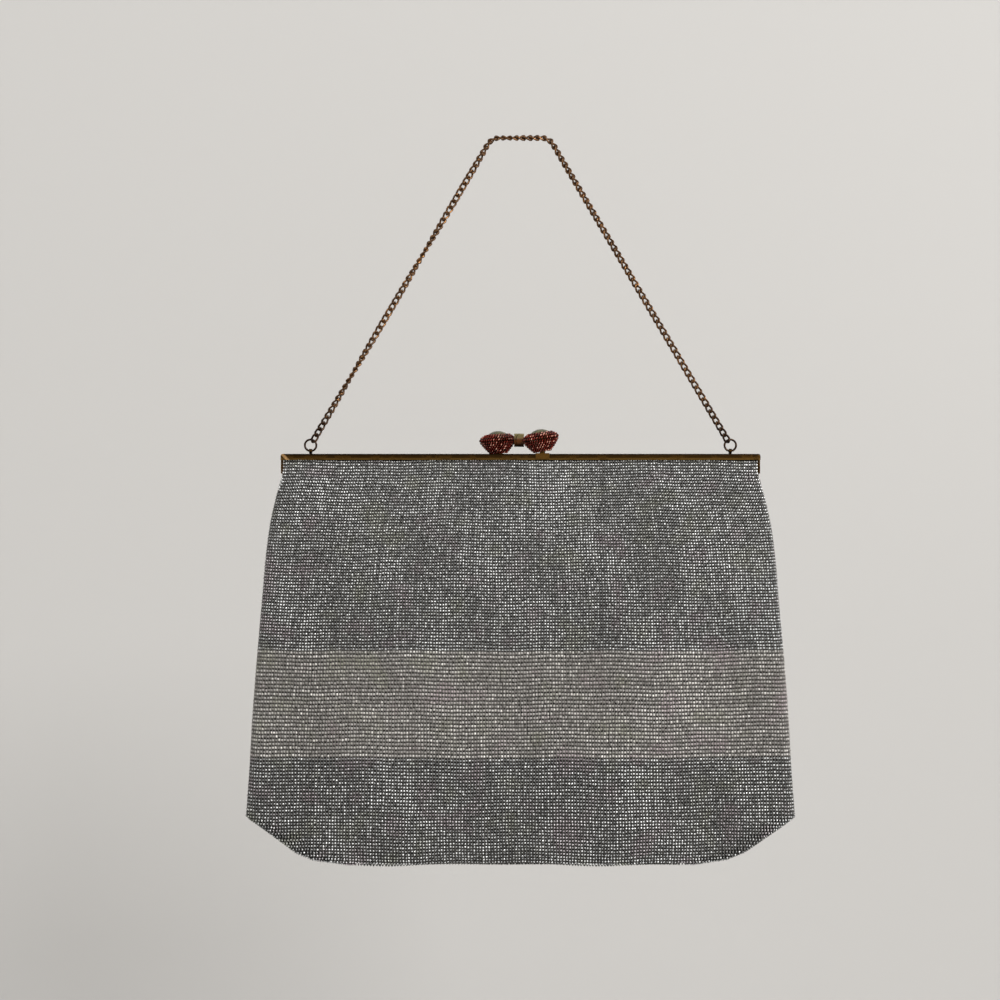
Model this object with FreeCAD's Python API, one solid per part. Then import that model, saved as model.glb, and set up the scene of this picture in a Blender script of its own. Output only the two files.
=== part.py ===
"""Kiss lock frame purse: a beaded evening bag hung by its chain from a hook.

Millimetres, +Z up, +X to the right, the front towards -Y.
The shapes are drawn from the top edge of the frame, and saved from the hook seat.
"""
import FreeCAD
import Part

import math
import os

from FreeCAD import Vector

# Driving dimensions of the frame
FRAME_WIDTH = 208.0
BAR_HEIGHT = 2.6
BAR_DEPTH = 4.2
SHEET = 0.6
HALF_GAP = 0.15
BAR_ROUNDING = 0.7
END_ROUNDING = 1.0
HINGE_DROP = 34.0
CHEEK_DROP = 8.5
CHEEK_FRONT = 2.2
LEG_OUTER_X = FRAME_WIDTH / 2 - SHEET
LEG_THICKNESS = 1.6
LEG_NEAR_Y = 0.25
LEG_FAR_Y = 1.75
EAR_RADIUS = 2.6
EAR_THICKNESS = 0.7
EAR_RISE = 6.0
RIVET_RADIUS = 0.8
RIVET_CLEARANCE = 0.05
RIVET_HEAD_RADIUS = 1.7
RIVET_HEAD_THICKNESS = 0.6
RIVET_HEAD_GAP = 0.2

# Driving dimensions of the bag: depth below the frame, half width, half thickness, side radius
BAG_ROWS = [
    (1.3, 103.3, 3.65, 3.5),
    (3.2, 103.3, 3.65, 3.5),
    (8.0, 103.5, 4.1, 3.6),
    (18.0, 106.4, 5.1, 3.9),
    (30.0, 109.1, 6.5, 4.5),
    (44.0, 111.0, 7.9, 5.0),
    (65.0, 112.8, 9.5, 5.5),
    (90.0, 115.0, 10.8, 5.9),
    (115.0, 116.9, 11.3, 6.1),
    (138.0, 118.2, 10.9, 5.9),
    (157.7, 119.7, 9.2, 5.2),
    (173.5, 98.0, 5.2, 3.2),
    (176.6, 90.5, 3.8, 2.6),
    (178.9, 72.0, 2.0, 1.6),
]
CLOTH = 1.3
SEAM_GAP = 0.05
OPENING_GAP = 0.3
LEG_SLIT_DEPTH = 16.0
LEG_SLIT_Y = 2.3
FOLD_TOP = 28.0
FOLD_BOTTOM = 44.0
FOLD_GAP = 0.2

# Driving dimensions of the lining and its pocket
LINING_ROWS = [
    (1.3, 97.0, 2.1, 2.0),
    (3.2, 97.0, 2.1, 2.0),
    (8.0, 97.2, 2.5, 2.1),
    (30.0, 98.5, 4.9, 2.6),
    (60.0, 105.0, 7.6, 3.4),
    (90.0, 109.0, 9.2, 4.0),
    (115.0, 110.5, 9.6, 4.2),
    (138.0, 111.0, 9.2, 4.0),
    (155.0, 111.0, 7.6, 3.4),
    (172.0, 92.0, 3.0, 2.0),
]
SATIN = 0.45
LINING_SLIT_DEPTH = 6.0
LINING_SLIT_Y = 1.2
POCKET_HALF_WIDTH = 55.0
POCKET_TOP = 62.0
POCKET_BOTTOM = 128.0
POCKET_GAP = 0.05
CORD_RADIUS = 0.32
CORD_Y = 1.13
CORD_DEPTH = 1.9
CORD_HALF_LENGTH = 95.0

# Driving dimensions of the two knobs
KNOB_X = 9.5
KNOB_Y = HALF_GAP + BAR_DEPTH / 2
FRONT_KNOB_RISE = 1.3
REAR_KNOB_RISE = 0.6
FRONT_KNOB_TILT = -9.0
REAR_KNOB_TILT = -4.0
CUP_NECK_RADIUS = 3.3
CUP_RIM_RADIUS = 6.9
CUP_RIM_RISE = 5.3
CUP_RIM_BAND = 0.6
CUP_TOP_RADIUS = 5.0
CUP_TOP_RISE = 7.5
CABOCHON_RADIUS = 4.75
CABOCHON_HEIGHT = 2.0
CABOCHON_GAP = 0.02
STONE_PITCH = 1.36
STONE_BASE_RADIUS = 0.59
STONE_TABLE_RADIUS = 0.33
STONE_HEIGHT = 0.8
STONE_SIDES = 6
STONE_GAP = 0.03
LOWER_STONE_ROWS = 5
LOWER_ROW_START = 0.6
LOWER_ROW_SPARE = 0.2
UPPER_STONE_ROWS = 1
UPPER_ROW_START = 0.62
UPPER_ROW_SPARE = 0.1
POST_RADIUS = 1.2
POST_DEPTH_IN_CUP = 3.0
POST_CLEARANCE = 0.03
COLLAR_RADIUS = 2.0
COLLAR_THICKNESS = 0.3
POST_FOOT_RADIUS = 1.4
POST_FOOT_THICKNESS = 0.4
SADDLE_WIDTH = 6.0
SADDLE_DROP = 2.2
SADDLE_THICKNESS = 0.5
PAD_RADIUS = 2.9
PAD_RISE = 6.0
PAD_GAP = 0.15
PAD_END_GAP = 0.3
PAD_SLANT = 35.0
PAD_NECK_RADIUS = 1.0
FRONT_PAD_REACH = 1.5
REAR_PAD_REACH = 2.7
FRONT_NECK_REACH = 3.9
REAR_NECK_REACH = 5.4
PAD_STONE_GAP = 0.25

# Driving dimensions of the chain and what it hangs on
EYELET_X = 91.3
EYELET_RISE = 1.3
EYELET_RADIUS = 1.0
EYELET_HOLE_RADIUS = 0.62
EYELET_THICKNESS = 1.2
EYELET_FOOT_NEAR_Y = 0.4
EYELET_FOOT_FAR_Y = 2.2
RING_RADIUS = 2.5
RING_WIRE_RADIUS = 0.45
RING_PULL_ANGLE = 30.0
HOOK_HALF_WIDTH = 12.5
HOOK_RISE = 137.5
HOOK_CORNER_RADIUS = 7.0
LINK_WIRE_RADIUS = 0.375
LINK_WIDTH = 3.2
LINK_PITCH = 3.05
LINK_SLACK = 0.14
LINK_RING_SLACK = 0.06
LINK_CENTRE_WIDTH = LINK_WIDTH - 2 * LINK_WIRE_RADIUS
LINK_CENTRE_LENGTH = LINK_PITCH + 2 * LINK_WIRE_RADIUS + LINK_SLACK
LINK_REACH = LINK_CENTRE_LENGTH / 2 - LINK_WIRE_RADIUS
TWIST_LINKS = 12
TWIST_TOTAL = 45.0

FAR = 400.0
TOUCHING = 0.01
MIDDLE = Vector(0, 0, 0)
TO_HOOK_SEAT = Vector(0, 0, LINK_WIDTH / 2 - HOOK_RISE)


def slab(x0, x1, y0, y1, z0, z1):
    """A box between pairs of coordinates given in either order."""
    low = Vector(min(x0, x1), min(y0, y1), min(z0, z1))
    return Part.makeBox(abs(x1 - x0), abs(y1 - y0), abs(z1 - z0), low)


def both_ends(shape):
    """The shape and its mirror image at the other end of the frame."""
    return [shape, shape.mirror(MIDDLE, Vector(1, 0, 0))]


def save(name, shape):
    """Writes one node, moved from the frame's top edge to the hook seat."""
    moved = shape.copy()
    moved.translate(TO_HOOK_SEAT)
    moved.exportStep(os.path.join("parts", name + ".step"))
    print(f"{name}: solids {len(moved.Solids)}, volume {moved.Volume:.1f}, valid {moved.isValid()}")


# The frame halves, each a bent channel with two legs that end in hinge ears
def half_frame(side, ear_x):
    """One half of the frame. side is -1 in front and 1 behind, and ear_x the inner face of its ear."""
    near = side * HALF_GAP
    far = side * (HALF_GAP + BAR_DEPTH)
    half = FRAME_WIDTH / 2
    bar = slab(-half, half, near, far, -BAR_HEIGHT, 0)
    end_edges = [
        edge for edge in bar.Edges
        if abs(edge.BoundBox.YLength - BAR_DEPTH) < TOUCHING
        and abs(edge.BoundBox.ZMin) < TOUCHING
    ]
    bar = bar.makeFillet(END_ROUNDING, end_edges)
    top_edges = [
        edge for edge in bar.Edges
        if edge.Length > FRAME_WIDTH / 2
        and abs(edge.BoundBox.ZMin) < TOUCHING
        and abs(edge.BoundBox.YMin - far) < TOUCHING
    ]
    bar = bar.makeFillet(BAR_ROUNDING, top_edges)
    inside = half - SHEET
    bar = bar.cut(slab(-inside, inside, near + side * SHEET, far - side * SHEET, -BAR_HEIGHT, -SHEET))
    post_hole_at = Vector(-side * KNOB_X, side * KNOB_Y, -SHEET)
    bar = bar.cut(Part.makeCylinder(POST_RADIUS + POST_CLEARANCE, SHEET, post_hole_at))

    leg_inner_x = LEG_OUTER_X - LEG_THICKNESS
    leg_bottom = EAR_RISE - HINGE_DROP
    leg = slab(leg_inner_x, LEG_OUTER_X, side * LEG_NEAR_Y, side * LEG_FAR_Y, leg_bottom, -SHEET)
    cheek = slab(LEG_OUTER_X, half, near, side * CHEEK_FRONT, -CHEEK_DROP, -BAR_HEIGHT)
    strap = slab(ear_x, ear_x + EAR_THICKNESS, side * LEG_NEAR_Y, side * LEG_FAR_Y, -HINGE_DROP, leg_bottom)
    hinge = Vector(ear_x, 0, -HINGE_DROP)
    ear = Part.makeCylinder(EAR_RADIUS, EAR_THICKNESS, hinge, Vector(1, 0, 0))
    hole = Part.makeCylinder(RIVET_RADIUS + RIVET_CLEARANCE, EAR_THICKNESS, hinge, Vector(1, 0, 0))
    end = leg.fuse([cheek, strap, ear]).cut(hole)
    return bar.fuse(both_ends(end)).removeSplitter()


def hinge_rivet():
    """The rivet through the two ears at the right end."""
    along = Vector(1, 0, 0)
    inner = LEG_OUTER_X - LEG_THICKNESS - RIVET_HEAD_GAP
    outer = LEG_OUTER_X + RIVET_HEAD_GAP
    shank = Part.makeCylinder(RIVET_RADIUS, outer - inner, Vector(inner, 0, -HINGE_DROP), along)
    inner_head_at = Vector(inner - RIVET_HEAD_THICKNESS, 0, -HINGE_DROP)
    inner_head = Part.makeCylinder(RIVET_HEAD_RADIUS, RIVET_HEAD_THICKNESS, inner_head_at, along)
    outer_head_at = Vector(outer, 0, -HINGE_DROP)
    outer_head = Part.makeCylinder(RIVET_HEAD_RADIUS, RIVET_HEAD_THICKNESS, outer_head_at, along)
    return shank.fuse([inner_head, outer_head]).removeSplitter()


# The soft bag, a shell lofted through sections of four arcs that run into each other
def bag_section(depth, half_width, half_thick, side_radius):
    """The closed outline of the bag at one depth: two flat arcs joined by two small side arcs."""
    flat_radius = (
        (half_width - side_radius) ** 2 + half_thick ** 2 - side_radius ** 2
    ) / (2 * (half_thick - side_radius))
    to_side = Vector(half_width - side_radius, half_thick - flat_radius, 0)
    to_side.normalize()
    join_x = half_width - side_radius + to_side.x * side_radius
    join_y = to_side.y * side_radius
    z = -depth
    front_left = Vector(-join_x, join_y, z)
    front_right = Vector(join_x, join_y, z)
    rear_right = Vector(join_x, -join_y, z)
    rear_left = Vector(-join_x, -join_y, z)
    return Part.Wire([
        Part.Arc(front_left, Vector(0, -half_thick, z), front_right).toShape(),
        Part.Arc(front_right, Vector(half_width, 0, z), rear_right).toShape(),
        Part.Arc(rear_right, Vector(0, half_thick, z), rear_left).toShape(),
        Part.Arc(rear_left, Vector(-half_width, 0, z), front_left).toShape(),
    ])


def bag_form(rows, inset):
    """The solid form through the rows, drawn in by inset all round and at the bottom."""
    drawn_in = [[depth, *(size - inset for size in sizes)] for depth, *sizes in rows]
    drawn_in[-1][0] -= inset
    return Part.makeLoft([bag_section(*row) for row in drawn_in], True, True)


def layer(rows, start, thickness):
    """A cloth layer of the bag, start below the outer surface."""
    return bag_form(rows, start).cut(bag_form(rows, start + thickness))


def part_of(shell, side, clearance, top, bottom):
    """The stretch of a layer on one side of the seam plane, between two depths."""
    return shell.common(slab(-FAR, FAR, side * clearance, side * FAR, -top, -bottom))


def slit(shell, side, depth, y):
    """Opens the sides of a layer beside the frame's legs, where front and rear come apart."""
    return shell.cut(slab(-FAR, FAR, -side * FAR, side * y, -depth, FAR))


def cloth_panels():
    """The beaded cloth, with the front cut where it folds as the frame opens."""
    shell = layer(BAG_ROWS, 0.0, CLOTH)
    rear = slit(part_of(shell, 1, SEAM_GAP, 0, FAR), 1, LEG_SLIT_DEPTH, LEG_SLIT_Y)
    upper = slit(part_of(shell, -1, OPENING_GAP, 0, FOLD_TOP), -1, LEG_SLIT_DEPTH, LEG_SLIT_Y)
    fold = part_of(shell, -1, OPENING_GAP, FOLD_TOP + FOLD_GAP, FOLD_BOTTOM - FOLD_GAP)
    lower = part_of(shell, -1, SEAM_GAP, FOLD_BOTTOM, FAR)
    return rear, upper, fold, lower


def lining_panels():
    """The satin lining, cut at the front like the beaded cloth."""
    shell = layer(LINING_ROWS, 0.0, SATIN)
    rear = slit(part_of(shell, 1, SEAM_GAP, 0, FAR), 1, LINING_SLIT_DEPTH, LINING_SLIT_Y)
    upper = slit(part_of(shell, -1, OPENING_GAP, 0, FOLD_TOP), -1, LINING_SLIT_DEPTH, LINING_SLIT_Y)
    lower = part_of(shell, -1, SEAM_GAP, FOLD_BOTTOM, FAR)
    return rear, upper, lower


def slip_pocket():
    """A flat pocket sewn to the inner face of the rear lining."""
    shell = layer(LINING_ROWS, SATIN + POCKET_GAP, SATIN)
    patch = slab(-POCKET_HALF_WIDTH, POCKET_HALF_WIDTH, 0, FAR, -POCKET_TOP, -POCKET_BOTTOM)
    return shell.common(patch)


def channel_cord(side):
    """The cord that wedges the cloth in one frame channel."""
    start = Vector(-CORD_HALF_LENGTH, side * CORD_Y, -CORD_DEPTH)
    return Part.makeCylinder(CORD_RADIUS, 2 * CORD_HALF_LENGTH, start, Vector(1, 0, 0))


# The knobs, drawn on their own axis and then tilted over the frame
class Knob:
    """One kiss lock knob: the cup, its stones, the cabochon on top, the post and the catch pad."""

    def __init__(self, side, tilt, rise, pad_reach, neck_reach):
        self.side = side
        self.foot = Vector(-side * KNOB_X, side * KNOB_Y, 0)
        self.tilt = tilt
        self.rise = rise
        self.pad_reach = pad_reach
        self.neck_reach = neck_reach

    def placed(self, shape):
        """The shape tilted over and stood on its half of the frame."""
        moved = shape.copy()
        moved.rotate(MIDDLE, Vector(0, 1, 0), self.tilt)
        moved.translate(self.foot + Vector(0, 0, self.rise))
        return moved

    def cup(self):
        """The brass core, a short cone below its rim and a shallow one above."""
        profile = Part.makePolygon([
            Vector(0, 0, 0),
            Vector(CUP_NECK_RADIUS, 0, 0),
            Vector(CUP_RIM_RADIUS, 0, CUP_RIM_RISE),
            Vector(CUP_RIM_RADIUS, 0, CUP_RIM_RISE + CUP_RIM_BAND),
            Vector(CUP_TOP_RADIUS, 0, CUP_TOP_RISE),
            Vector(0, 0, CUP_TOP_RISE),
            Vector(0, 0, 0),
        ])
        core = Part.Face(profile).revolve(MIDDLE, Vector(0, 0, 1), 360)
        bore = Part.makeCylinder(POST_RADIUS + POST_CLEARANCE, POST_DEPTH_IN_CUP)
        return self.placed(core.cut(bore))

    def cabochon(self):
        """The domed glass stone on top."""
        radius = (CABOCHON_RADIUS ** 2 + CABOCHON_HEIGHT ** 2) / (2 * CABOCHON_HEIGHT)
        seat = CUP_TOP_RISE + CABOCHON_GAP
        ball = Part.makeSphere(radius, Vector(0, 0, seat + CABOCHON_HEIGHT - radius))
        return self.placed(ball.common(slab(-FAR, FAR, -FAR, FAR, seat, FAR)))

    def post(self):
        """The post that holds the cup on the bar, with a collar on the bar and a foot under it."""
        under = Vector(self.foot.x, self.foot.y, -SHEET)
        shank = Part.makeCylinder(POST_RADIUS, SHEET + self.rise, under)
        foot_at = under - Vector(0, 0, POST_FOOT_THICKNESS)
        foot = Part.makeCylinder(POST_FOOT_RADIUS, POST_FOOT_THICKNESS, foot_at)
        collar = Part.makeCylinder(COLLAR_RADIUS, COLLAR_THICKNESS, self.foot)
        tip = self.placed(Part.makeCylinder(POST_RADIUS, POST_DEPTH_IN_CUP - POST_CLEARANCE))
        solid = shank.fuse([foot, collar, tip])
        if self.side < 0:
            solid = solid.fuse(self.saddle())
        return solid.cut(self.cup()).removeSplitter()

    def saddle(self):
        """The plate that bends over the front bar under the front knob."""
        face = -HALF_GAP - BAR_DEPTH
        left = self.foot.x - SADDLE_WIDTH / 2
        right = self.foot.x + SADDLE_WIDTH / 2
        on_top = slab(left, right, face - SADDLE_THICKNESS, self.foot.y, 0, COLLAR_THICKNESS)
        on_face = slab(left, right, face - SADDLE_THICKNESS, face, -SADDLE_DROP, 0)
        return on_top.fuse(on_face)

    def pad(self):
        """The catch pad on its neck, with a slanted face that slides off the pad of the other knob."""
        inward = Vector(self.side, 0, 0)
        start = Vector(-self.side * self.pad_reach, 0, PAD_RISE)
        length = FRONT_PAD_REACH + REAR_PAD_REACH - PAD_END_GAP
        disc = Part.makeCylinder(PAD_RADIUS, length, start, inward)
        beyond = slab(-self.side * PAD_GAP, self.side * FAR, -FAR, FAR, -FAR, FAR)
        beyond.rotate(MIDDLE, Vector(0, 0, 1), -PAD_SLANT)
        neck_start = Vector(-self.side * self.neck_reach, 0, PAD_RISE)
        neck_length = self.neck_reach - self.pad_reach
        neck = Part.makeCylinder(PAD_NECK_RADIUS, neck_length, neck_start, inward)
        return disc.cut(beyond).fuse(neck).cut(self.cup()).removeSplitter()

    def stones(self):
        """The faceted stones in rows round the cup, left out where the pad is."""
        lower_slope = [(CUP_NECK_RADIUS, 0.0), (CUP_RIM_RADIUS, CUP_RIM_RISE)]
        rim = [(CUP_RIM_RADIUS, CUP_RIM_RISE), (CUP_RIM_RADIUS, CUP_RIM_RISE + CUP_RIM_BAND)]
        upper_slope = [rim[1], (CUP_TOP_RADIUS, CUP_TOP_RISE)]
        lower_rows = LOWER_STONE_ROWS + LOWER_ROW_SPARE
        upper_rows = UPPER_STONE_ROWS + UPPER_ROW_SPARE
        rows = [(lower_slope, (n + LOWER_ROW_START) / lower_rows) for n in range(LOWER_STONE_ROWS)]
        rows.append((rim, 0.5))
        rows += [(upper_slope, (n + UPPER_ROW_START) / upper_rows) for n in range(UPPER_STONE_ROWS)]
        stone = faceted_stone()
        kept = []
        for number, (slope, share) in enumerate(rows):
            kept += self.stone_row(stone, slope, share, number)
        return Part.makeCompound(kept)

    def stone_row(self, stone, slope, share, number):
        """One ring of stones, set square to the cup."""
        (r0, z0), (r1, z1) = slope
        radius = r0 + (r1 - r0) * share
        rise = z0 + (z1 - z0) * share
        lean = math.degrees(math.atan2(z1 - z0, r1 - r0))
        count = int(2 * math.pi * radius / STONE_PITCH)
        ring = []
        for step in range(count):
            copy = stone.copy()
            copy.rotate(MIDDLE, Vector(0, 1, 0), 180 - lean)
            copy.translate(Vector(radius, 0, rise))
            copy.rotate(MIDDLE, Vector(0, 0, 1), 360.0 * (step + 0.5 * (number % 2)) / count)
            placed = self.placed(copy)
            if not self.near_pad(placed.CenterOfMass):
                ring.append(placed)
        return ring

    def near_pad(self, point):
        """Whether a stone there would run into the catch pad."""
        clear = STONE_BASE_RADIUS + PAD_STONE_GAP
        off_axis = math.hypot(point.y, point.z - PAD_RISE)
        at_pad = abs(point.x) < self.pad_reach + clear and off_axis < PAD_RADIUS + clear
        at_neck = abs(point.x) < self.neck_reach + clear and off_axis < PAD_NECK_RADIUS + clear
        return at_pad or at_neck


def faceted_stone():
    """A six-sided stone with a flat table, its base just off the plane z = 0."""
    def ring(radius, z):
        turns = [2 * math.pi * n / STONE_SIDES for n in range(STONE_SIDES)]
        return [Vector(radius * math.cos(a), radius * math.sin(a), z) for a in turns]

    base = ring(STONE_BASE_RADIUS, STONE_GAP)
    table = ring(STONE_TABLE_RADIUS, STONE_GAP + STONE_HEIGHT)
    outlines = [base, table]
    for n in range(STONE_SIDES):
        after = (n + 1) % STONE_SIDES
        outlines.append([base[n], base[after], table[after], table[n]])
    faces = [Part.Face(Part.makePolygon(points + points[:1])) for points in outlines]
    solid = Part.Solid(Part.Shell(faces))
    if solid.Volume < 0:
        solid.reverse()
    return solid


# The chain: eyelets on the rear bar, a ring in each, and links along the path over the hook
def eyelet():
    """The eyelet at the right end of the rear bar."""
    along = Vector(1, 0, 0)
    start = Vector(EYELET_X - EYELET_THICKNESS / 2, 0, EYELET_RISE)
    eye = Part.makeCylinder(EYELET_RADIUS, EYELET_THICKNESS, start, along)
    end_x = start.x + EYELET_THICKNESS
    foot = slab(start.x, end_x, EYELET_FOOT_NEAR_Y, EYELET_FOOT_FAR_Y, 0, EYELET_RISE)
    hole = Part.makeCylinder(EYELET_HOLE_RADIUS, EYELET_THICKNESS, start, along)
    return eye.fuse(foot).cut(hole).removeSplitter()


def jump_ring():
    """The ring at the right end, upright in its eyelet."""
    centre = Vector(EYELET_X, 0, EYELET_RISE + RING_RADIUS)
    return Part.makeTorus(RING_RADIUS, RING_WIRE_RADIUS, centre, Vector(0, 1, 0))


def chain_path():
    """The left half of the chain's line, from the ring to the middle of the hook."""
    pull = math.radians(RING_PULL_ANGLE)
    ring_z = EYELET_RISE + RING_RADIUS * (1 + math.cos(pull))
    start = Vector(RING_RADIUS * math.sin(pull) - EYELET_X, 0, ring_z)
    corner = Vector(-HOOK_HALF_WIDTH, 0, HOOK_RISE)
    run = corner - start
    turn = math.atan2(run.z, run.x)
    trim = HOOK_CORNER_RADIUS * math.tan(turn / 2)
    along = Vector(run)
    along.normalize()
    arc_start = corner - along * trim
    arc_end = corner + Vector(trim, 0, 0)
    arc_centre = arc_end - Vector(0, 0, HOOK_CORNER_RADIUS)
    arc_middle = arc_centre + (corner - arc_centre).normalize() * HOOK_CORNER_RADIUS
    return Part.Wire([
        Part.LineSegment(start, arc_start).toShape(),
        Part.Arc(arc_start, arc_middle, arc_end).toShape(),
        Part.LineSegment(arc_end, Vector(0, 0, HOOK_RISE)).toShape(),
    ])


def link_places():
    """The centre and direction of each link, and the pitch that gives both ends the same turn."""
    half = chain_path()
    first = LINK_REACH - RING_WIRE_RADIUS - LINK_RING_SLACK
    spans = 2 * round((half.Length - first) / LINK_PITCH)
    pitch = 2 * (half.Length - first) / spans
    at = [first + pitch * n for n in range(spans + 1)]
    places = []
    for length in at:
        mirrored = length > half.Length
        point, direction = point_on(half, 2 * half.Length - length if mirrored else length)
        if mirrored:
            point = Vector(-point.x, point.y, point.z)
            direction = Vector(direction.x, direction.y, -direction.z)
        places.append((point, direction))
    return places, pitch


def point_on(wire, length):
    """The point and unit direction at a length along a wire of lines and arcs."""
    edges = wire.OrderedEdges
    edge = edges[0]
    for following in edges[1:]:
        if length <= edge.Length:
            break
        length -= edge.Length
        edge = following
    parameter = edge.getParameterByLength(min(length, edge.Length))
    return edge.valueAt(parameter), edge.tangentAt(parameter)


def chain_link():
    """One oval link along X in the XY plane."""
    radius = LINK_CENTRE_WIDTH / 2
    half_run = LINK_CENTRE_LENGTH / 2 - radius
    path = Part.Wire([
        Part.LineSegment(Vector(-half_run, radius, 0), Vector(half_run, radius, 0)).toShape(),
        Part.Arc(
            Vector(half_run, radius, 0), Vector(half_run + radius, 0, 0), Vector(half_run, -radius, 0)
        ).toShape(),
        Part.LineSegment(Vector(half_run, -radius, 0), Vector(-half_run, -radius, 0)).toShape(),
        Part.Arc(
            Vector(-half_run, -radius, 0), Vector(-half_run - radius, 0, 0), Vector(-half_run, radius, 0)
        ).toShape(),
    ])
    wire = Part.Wire(Part.makeCircle(LINK_WIRE_RADIUS, Vector(-half_run, radius, 0), Vector(1, 0, 0)))
    return path.makePipeShell([wire], True, False)


def chain_links():
    """All the links, each a quarter turn from the last, with a slow twist in from both ends."""
    link = chain_link()
    places, pitch = link_places()
    last = len(places) - 1
    links = []
    for number, (point, direction) in enumerate(places):
        twist = TWIST_TOTAL * min(number, last - number, TWIST_LINKS) / TWIST_LINKS
        roll = math.radians(90.0 * (1 + number % 2) + twist)
        across = direction.cross(Vector(0, 1, 0))
        width = across * math.cos(roll) + Vector(0, 1, 0) * math.sin(roll)
        rotation = FreeCAD.Rotation(direction, width, direction.cross(width), "XYZ")
        copy = link.copy()
        copy.Placement = FreeCAD.Placement(point, rotation)
        links.append(copy)
    print(f"chain: {len(links)} links, pitch {pitch:.3f}, length {2 * chain_path().Length:.1f}")
    return Part.makeCompound(links)


def main():
    os.makedirs("parts", exist_ok=True)
    leg_inner_x = LEG_OUTER_X - LEG_THICKNESS
    save("front_frame", half_frame(-1, leg_inner_x))
    save("rear_frame", half_frame(1, LEG_OUTER_X - EAR_THICKNESS))
    for name, shape in zip(("right_hinge_rivet", "left_hinge_rivet"), both_ends(hinge_rivet())):
        save(name, shape)

    rear, upper, fold, lower = cloth_panels()
    save("rear_bead_panel", rear)
    save("front_panel_upper", upper)
    save("front_panel_fold", fold)
    save("front_panel_lower", lower)
    rear, upper, lower = lining_panels()
    save("rear_lining", rear)
    save("front_lining_upper", upper)
    save("front_lining_lower", lower)
    save("slip_pocket", slip_pocket())
    save("front_channel_cord", channel_cord(-1))
    save("rear_channel_cord", channel_cord(1))

    front_knob = Knob(-1, FRONT_KNOB_TILT, FRONT_KNOB_RISE, FRONT_PAD_REACH, FRONT_NECK_REACH)
    rear_knob = Knob(1, REAR_KNOB_TILT, REAR_KNOB_RISE, REAR_PAD_REACH, REAR_NECK_REACH)
    for name, knob in (("front", front_knob), ("rear", rear_knob)):
        save(name + "_knob_cup", knob.cup())
        save(name + "_knob_post", knob.post())
        save(name + "_knob_cabochon", knob.cabochon())
        save(name + "_knob_stones", knob.stones())
        save(name + "_catch_pad", knob.pad())

    for name, shape in zip(("right_chain_eyelet", "left_chain_eyelet"), both_ends(eyelet())):
        save(name, shape)
    for name, shape in zip(("right_jump_ring", "left_jump_ring"), both_ends(jump_ring())):
        save(name, shape)
    save("chain_links", chain_links())


main()
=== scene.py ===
"""A beaded evening purse on a hinged kiss lock frame, hung by its chain.

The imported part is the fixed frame: metres, +X to the right, +Z up, the front towards -Y, and the origin under
the middle of the chain's level top. Sizes are in millimetres, and depths run down from the frame's top.
"""
from __future__ import annotations

import logging
import math
from dataclasses import dataclass, replace
from enum import Enum
from functools import partial
from typing import Callable

import bmesh
import bpy
import numpy as np
from mathutils import Matrix, Vector

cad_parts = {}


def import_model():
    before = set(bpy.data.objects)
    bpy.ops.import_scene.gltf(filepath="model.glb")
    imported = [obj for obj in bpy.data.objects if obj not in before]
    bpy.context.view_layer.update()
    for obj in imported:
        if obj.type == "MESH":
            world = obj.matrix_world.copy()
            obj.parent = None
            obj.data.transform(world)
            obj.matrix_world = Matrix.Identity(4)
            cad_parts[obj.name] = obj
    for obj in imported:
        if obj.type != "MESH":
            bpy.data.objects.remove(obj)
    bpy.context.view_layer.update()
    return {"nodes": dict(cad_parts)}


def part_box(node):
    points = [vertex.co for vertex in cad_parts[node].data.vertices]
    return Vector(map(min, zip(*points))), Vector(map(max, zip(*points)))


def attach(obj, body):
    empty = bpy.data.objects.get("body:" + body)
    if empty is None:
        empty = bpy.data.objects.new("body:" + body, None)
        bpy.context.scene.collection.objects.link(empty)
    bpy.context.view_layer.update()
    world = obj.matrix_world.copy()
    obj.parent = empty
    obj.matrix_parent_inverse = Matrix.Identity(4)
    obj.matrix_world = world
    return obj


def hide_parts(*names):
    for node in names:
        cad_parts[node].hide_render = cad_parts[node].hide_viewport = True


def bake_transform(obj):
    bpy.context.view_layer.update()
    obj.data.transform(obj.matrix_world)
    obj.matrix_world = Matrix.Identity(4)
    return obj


LOG = logging.getLogger("purse")
MM = 0.001
UP = (0.0, 0.0, 1.0)
TONE = "tone"
CLOTH_UV = "cloth_mm"
BAKE_UV = "OFBake"
# A wave texture's scale for one band in each unit of length
BAND_SCALE = 0.31
# How far short of the bottom seam a panel of cloth ends
SEAM_ROOM = 0.03

Array = np.ndarray
Draws = np.random.Generator
Pair = tuple[float, float]
Triple = tuple[float, float, float]
Piece = bpy.types.Object
Socket = bpy.types.NodeSocket
AddNode = Callable[..., Socket]
Sockets = dict[str, object]


class Side(Enum):
    """The two faces of the bag, by the sign of their Y."""

    FRONT = -1
    REAR = 1


def linear(code: str) -> tuple[float, float, float, float]:
    """Turns a colour as a picture shows it into one that the shaders take.

    Args:
        code: The sRGB colour as six hex digits.

    Returns:
        Linear red, green, blue and alpha.
    """
    parts = [int(code[n:n + 2], 16) / 255 for n in (0, 2, 4)]
    red, green, blue = [c / 12.92 if c <= 0.04045 else ((c + 0.055) / 1.055) ** 2.4 for c in parts]
    return red, green, blue, 1.0


def per_metre(millimetres: float) -> float:
    """How many pattern cells of this size fit in a metre, which is a texture's scale."""
    return 1.0 / (millimetres * MM)


def fresh_tree(owner: bpy.types.Material | bpy.types.World) -> bpy.types.NodeTree:
    """Clears the nodes of a material or the world.

    Args:
        owner: The material or the world.

    Returns:
        Its empty node tree.
    """
    owner.use_nodes = True
    owner.node_tree.nodes.clear()
    return owner.node_tree


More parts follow.
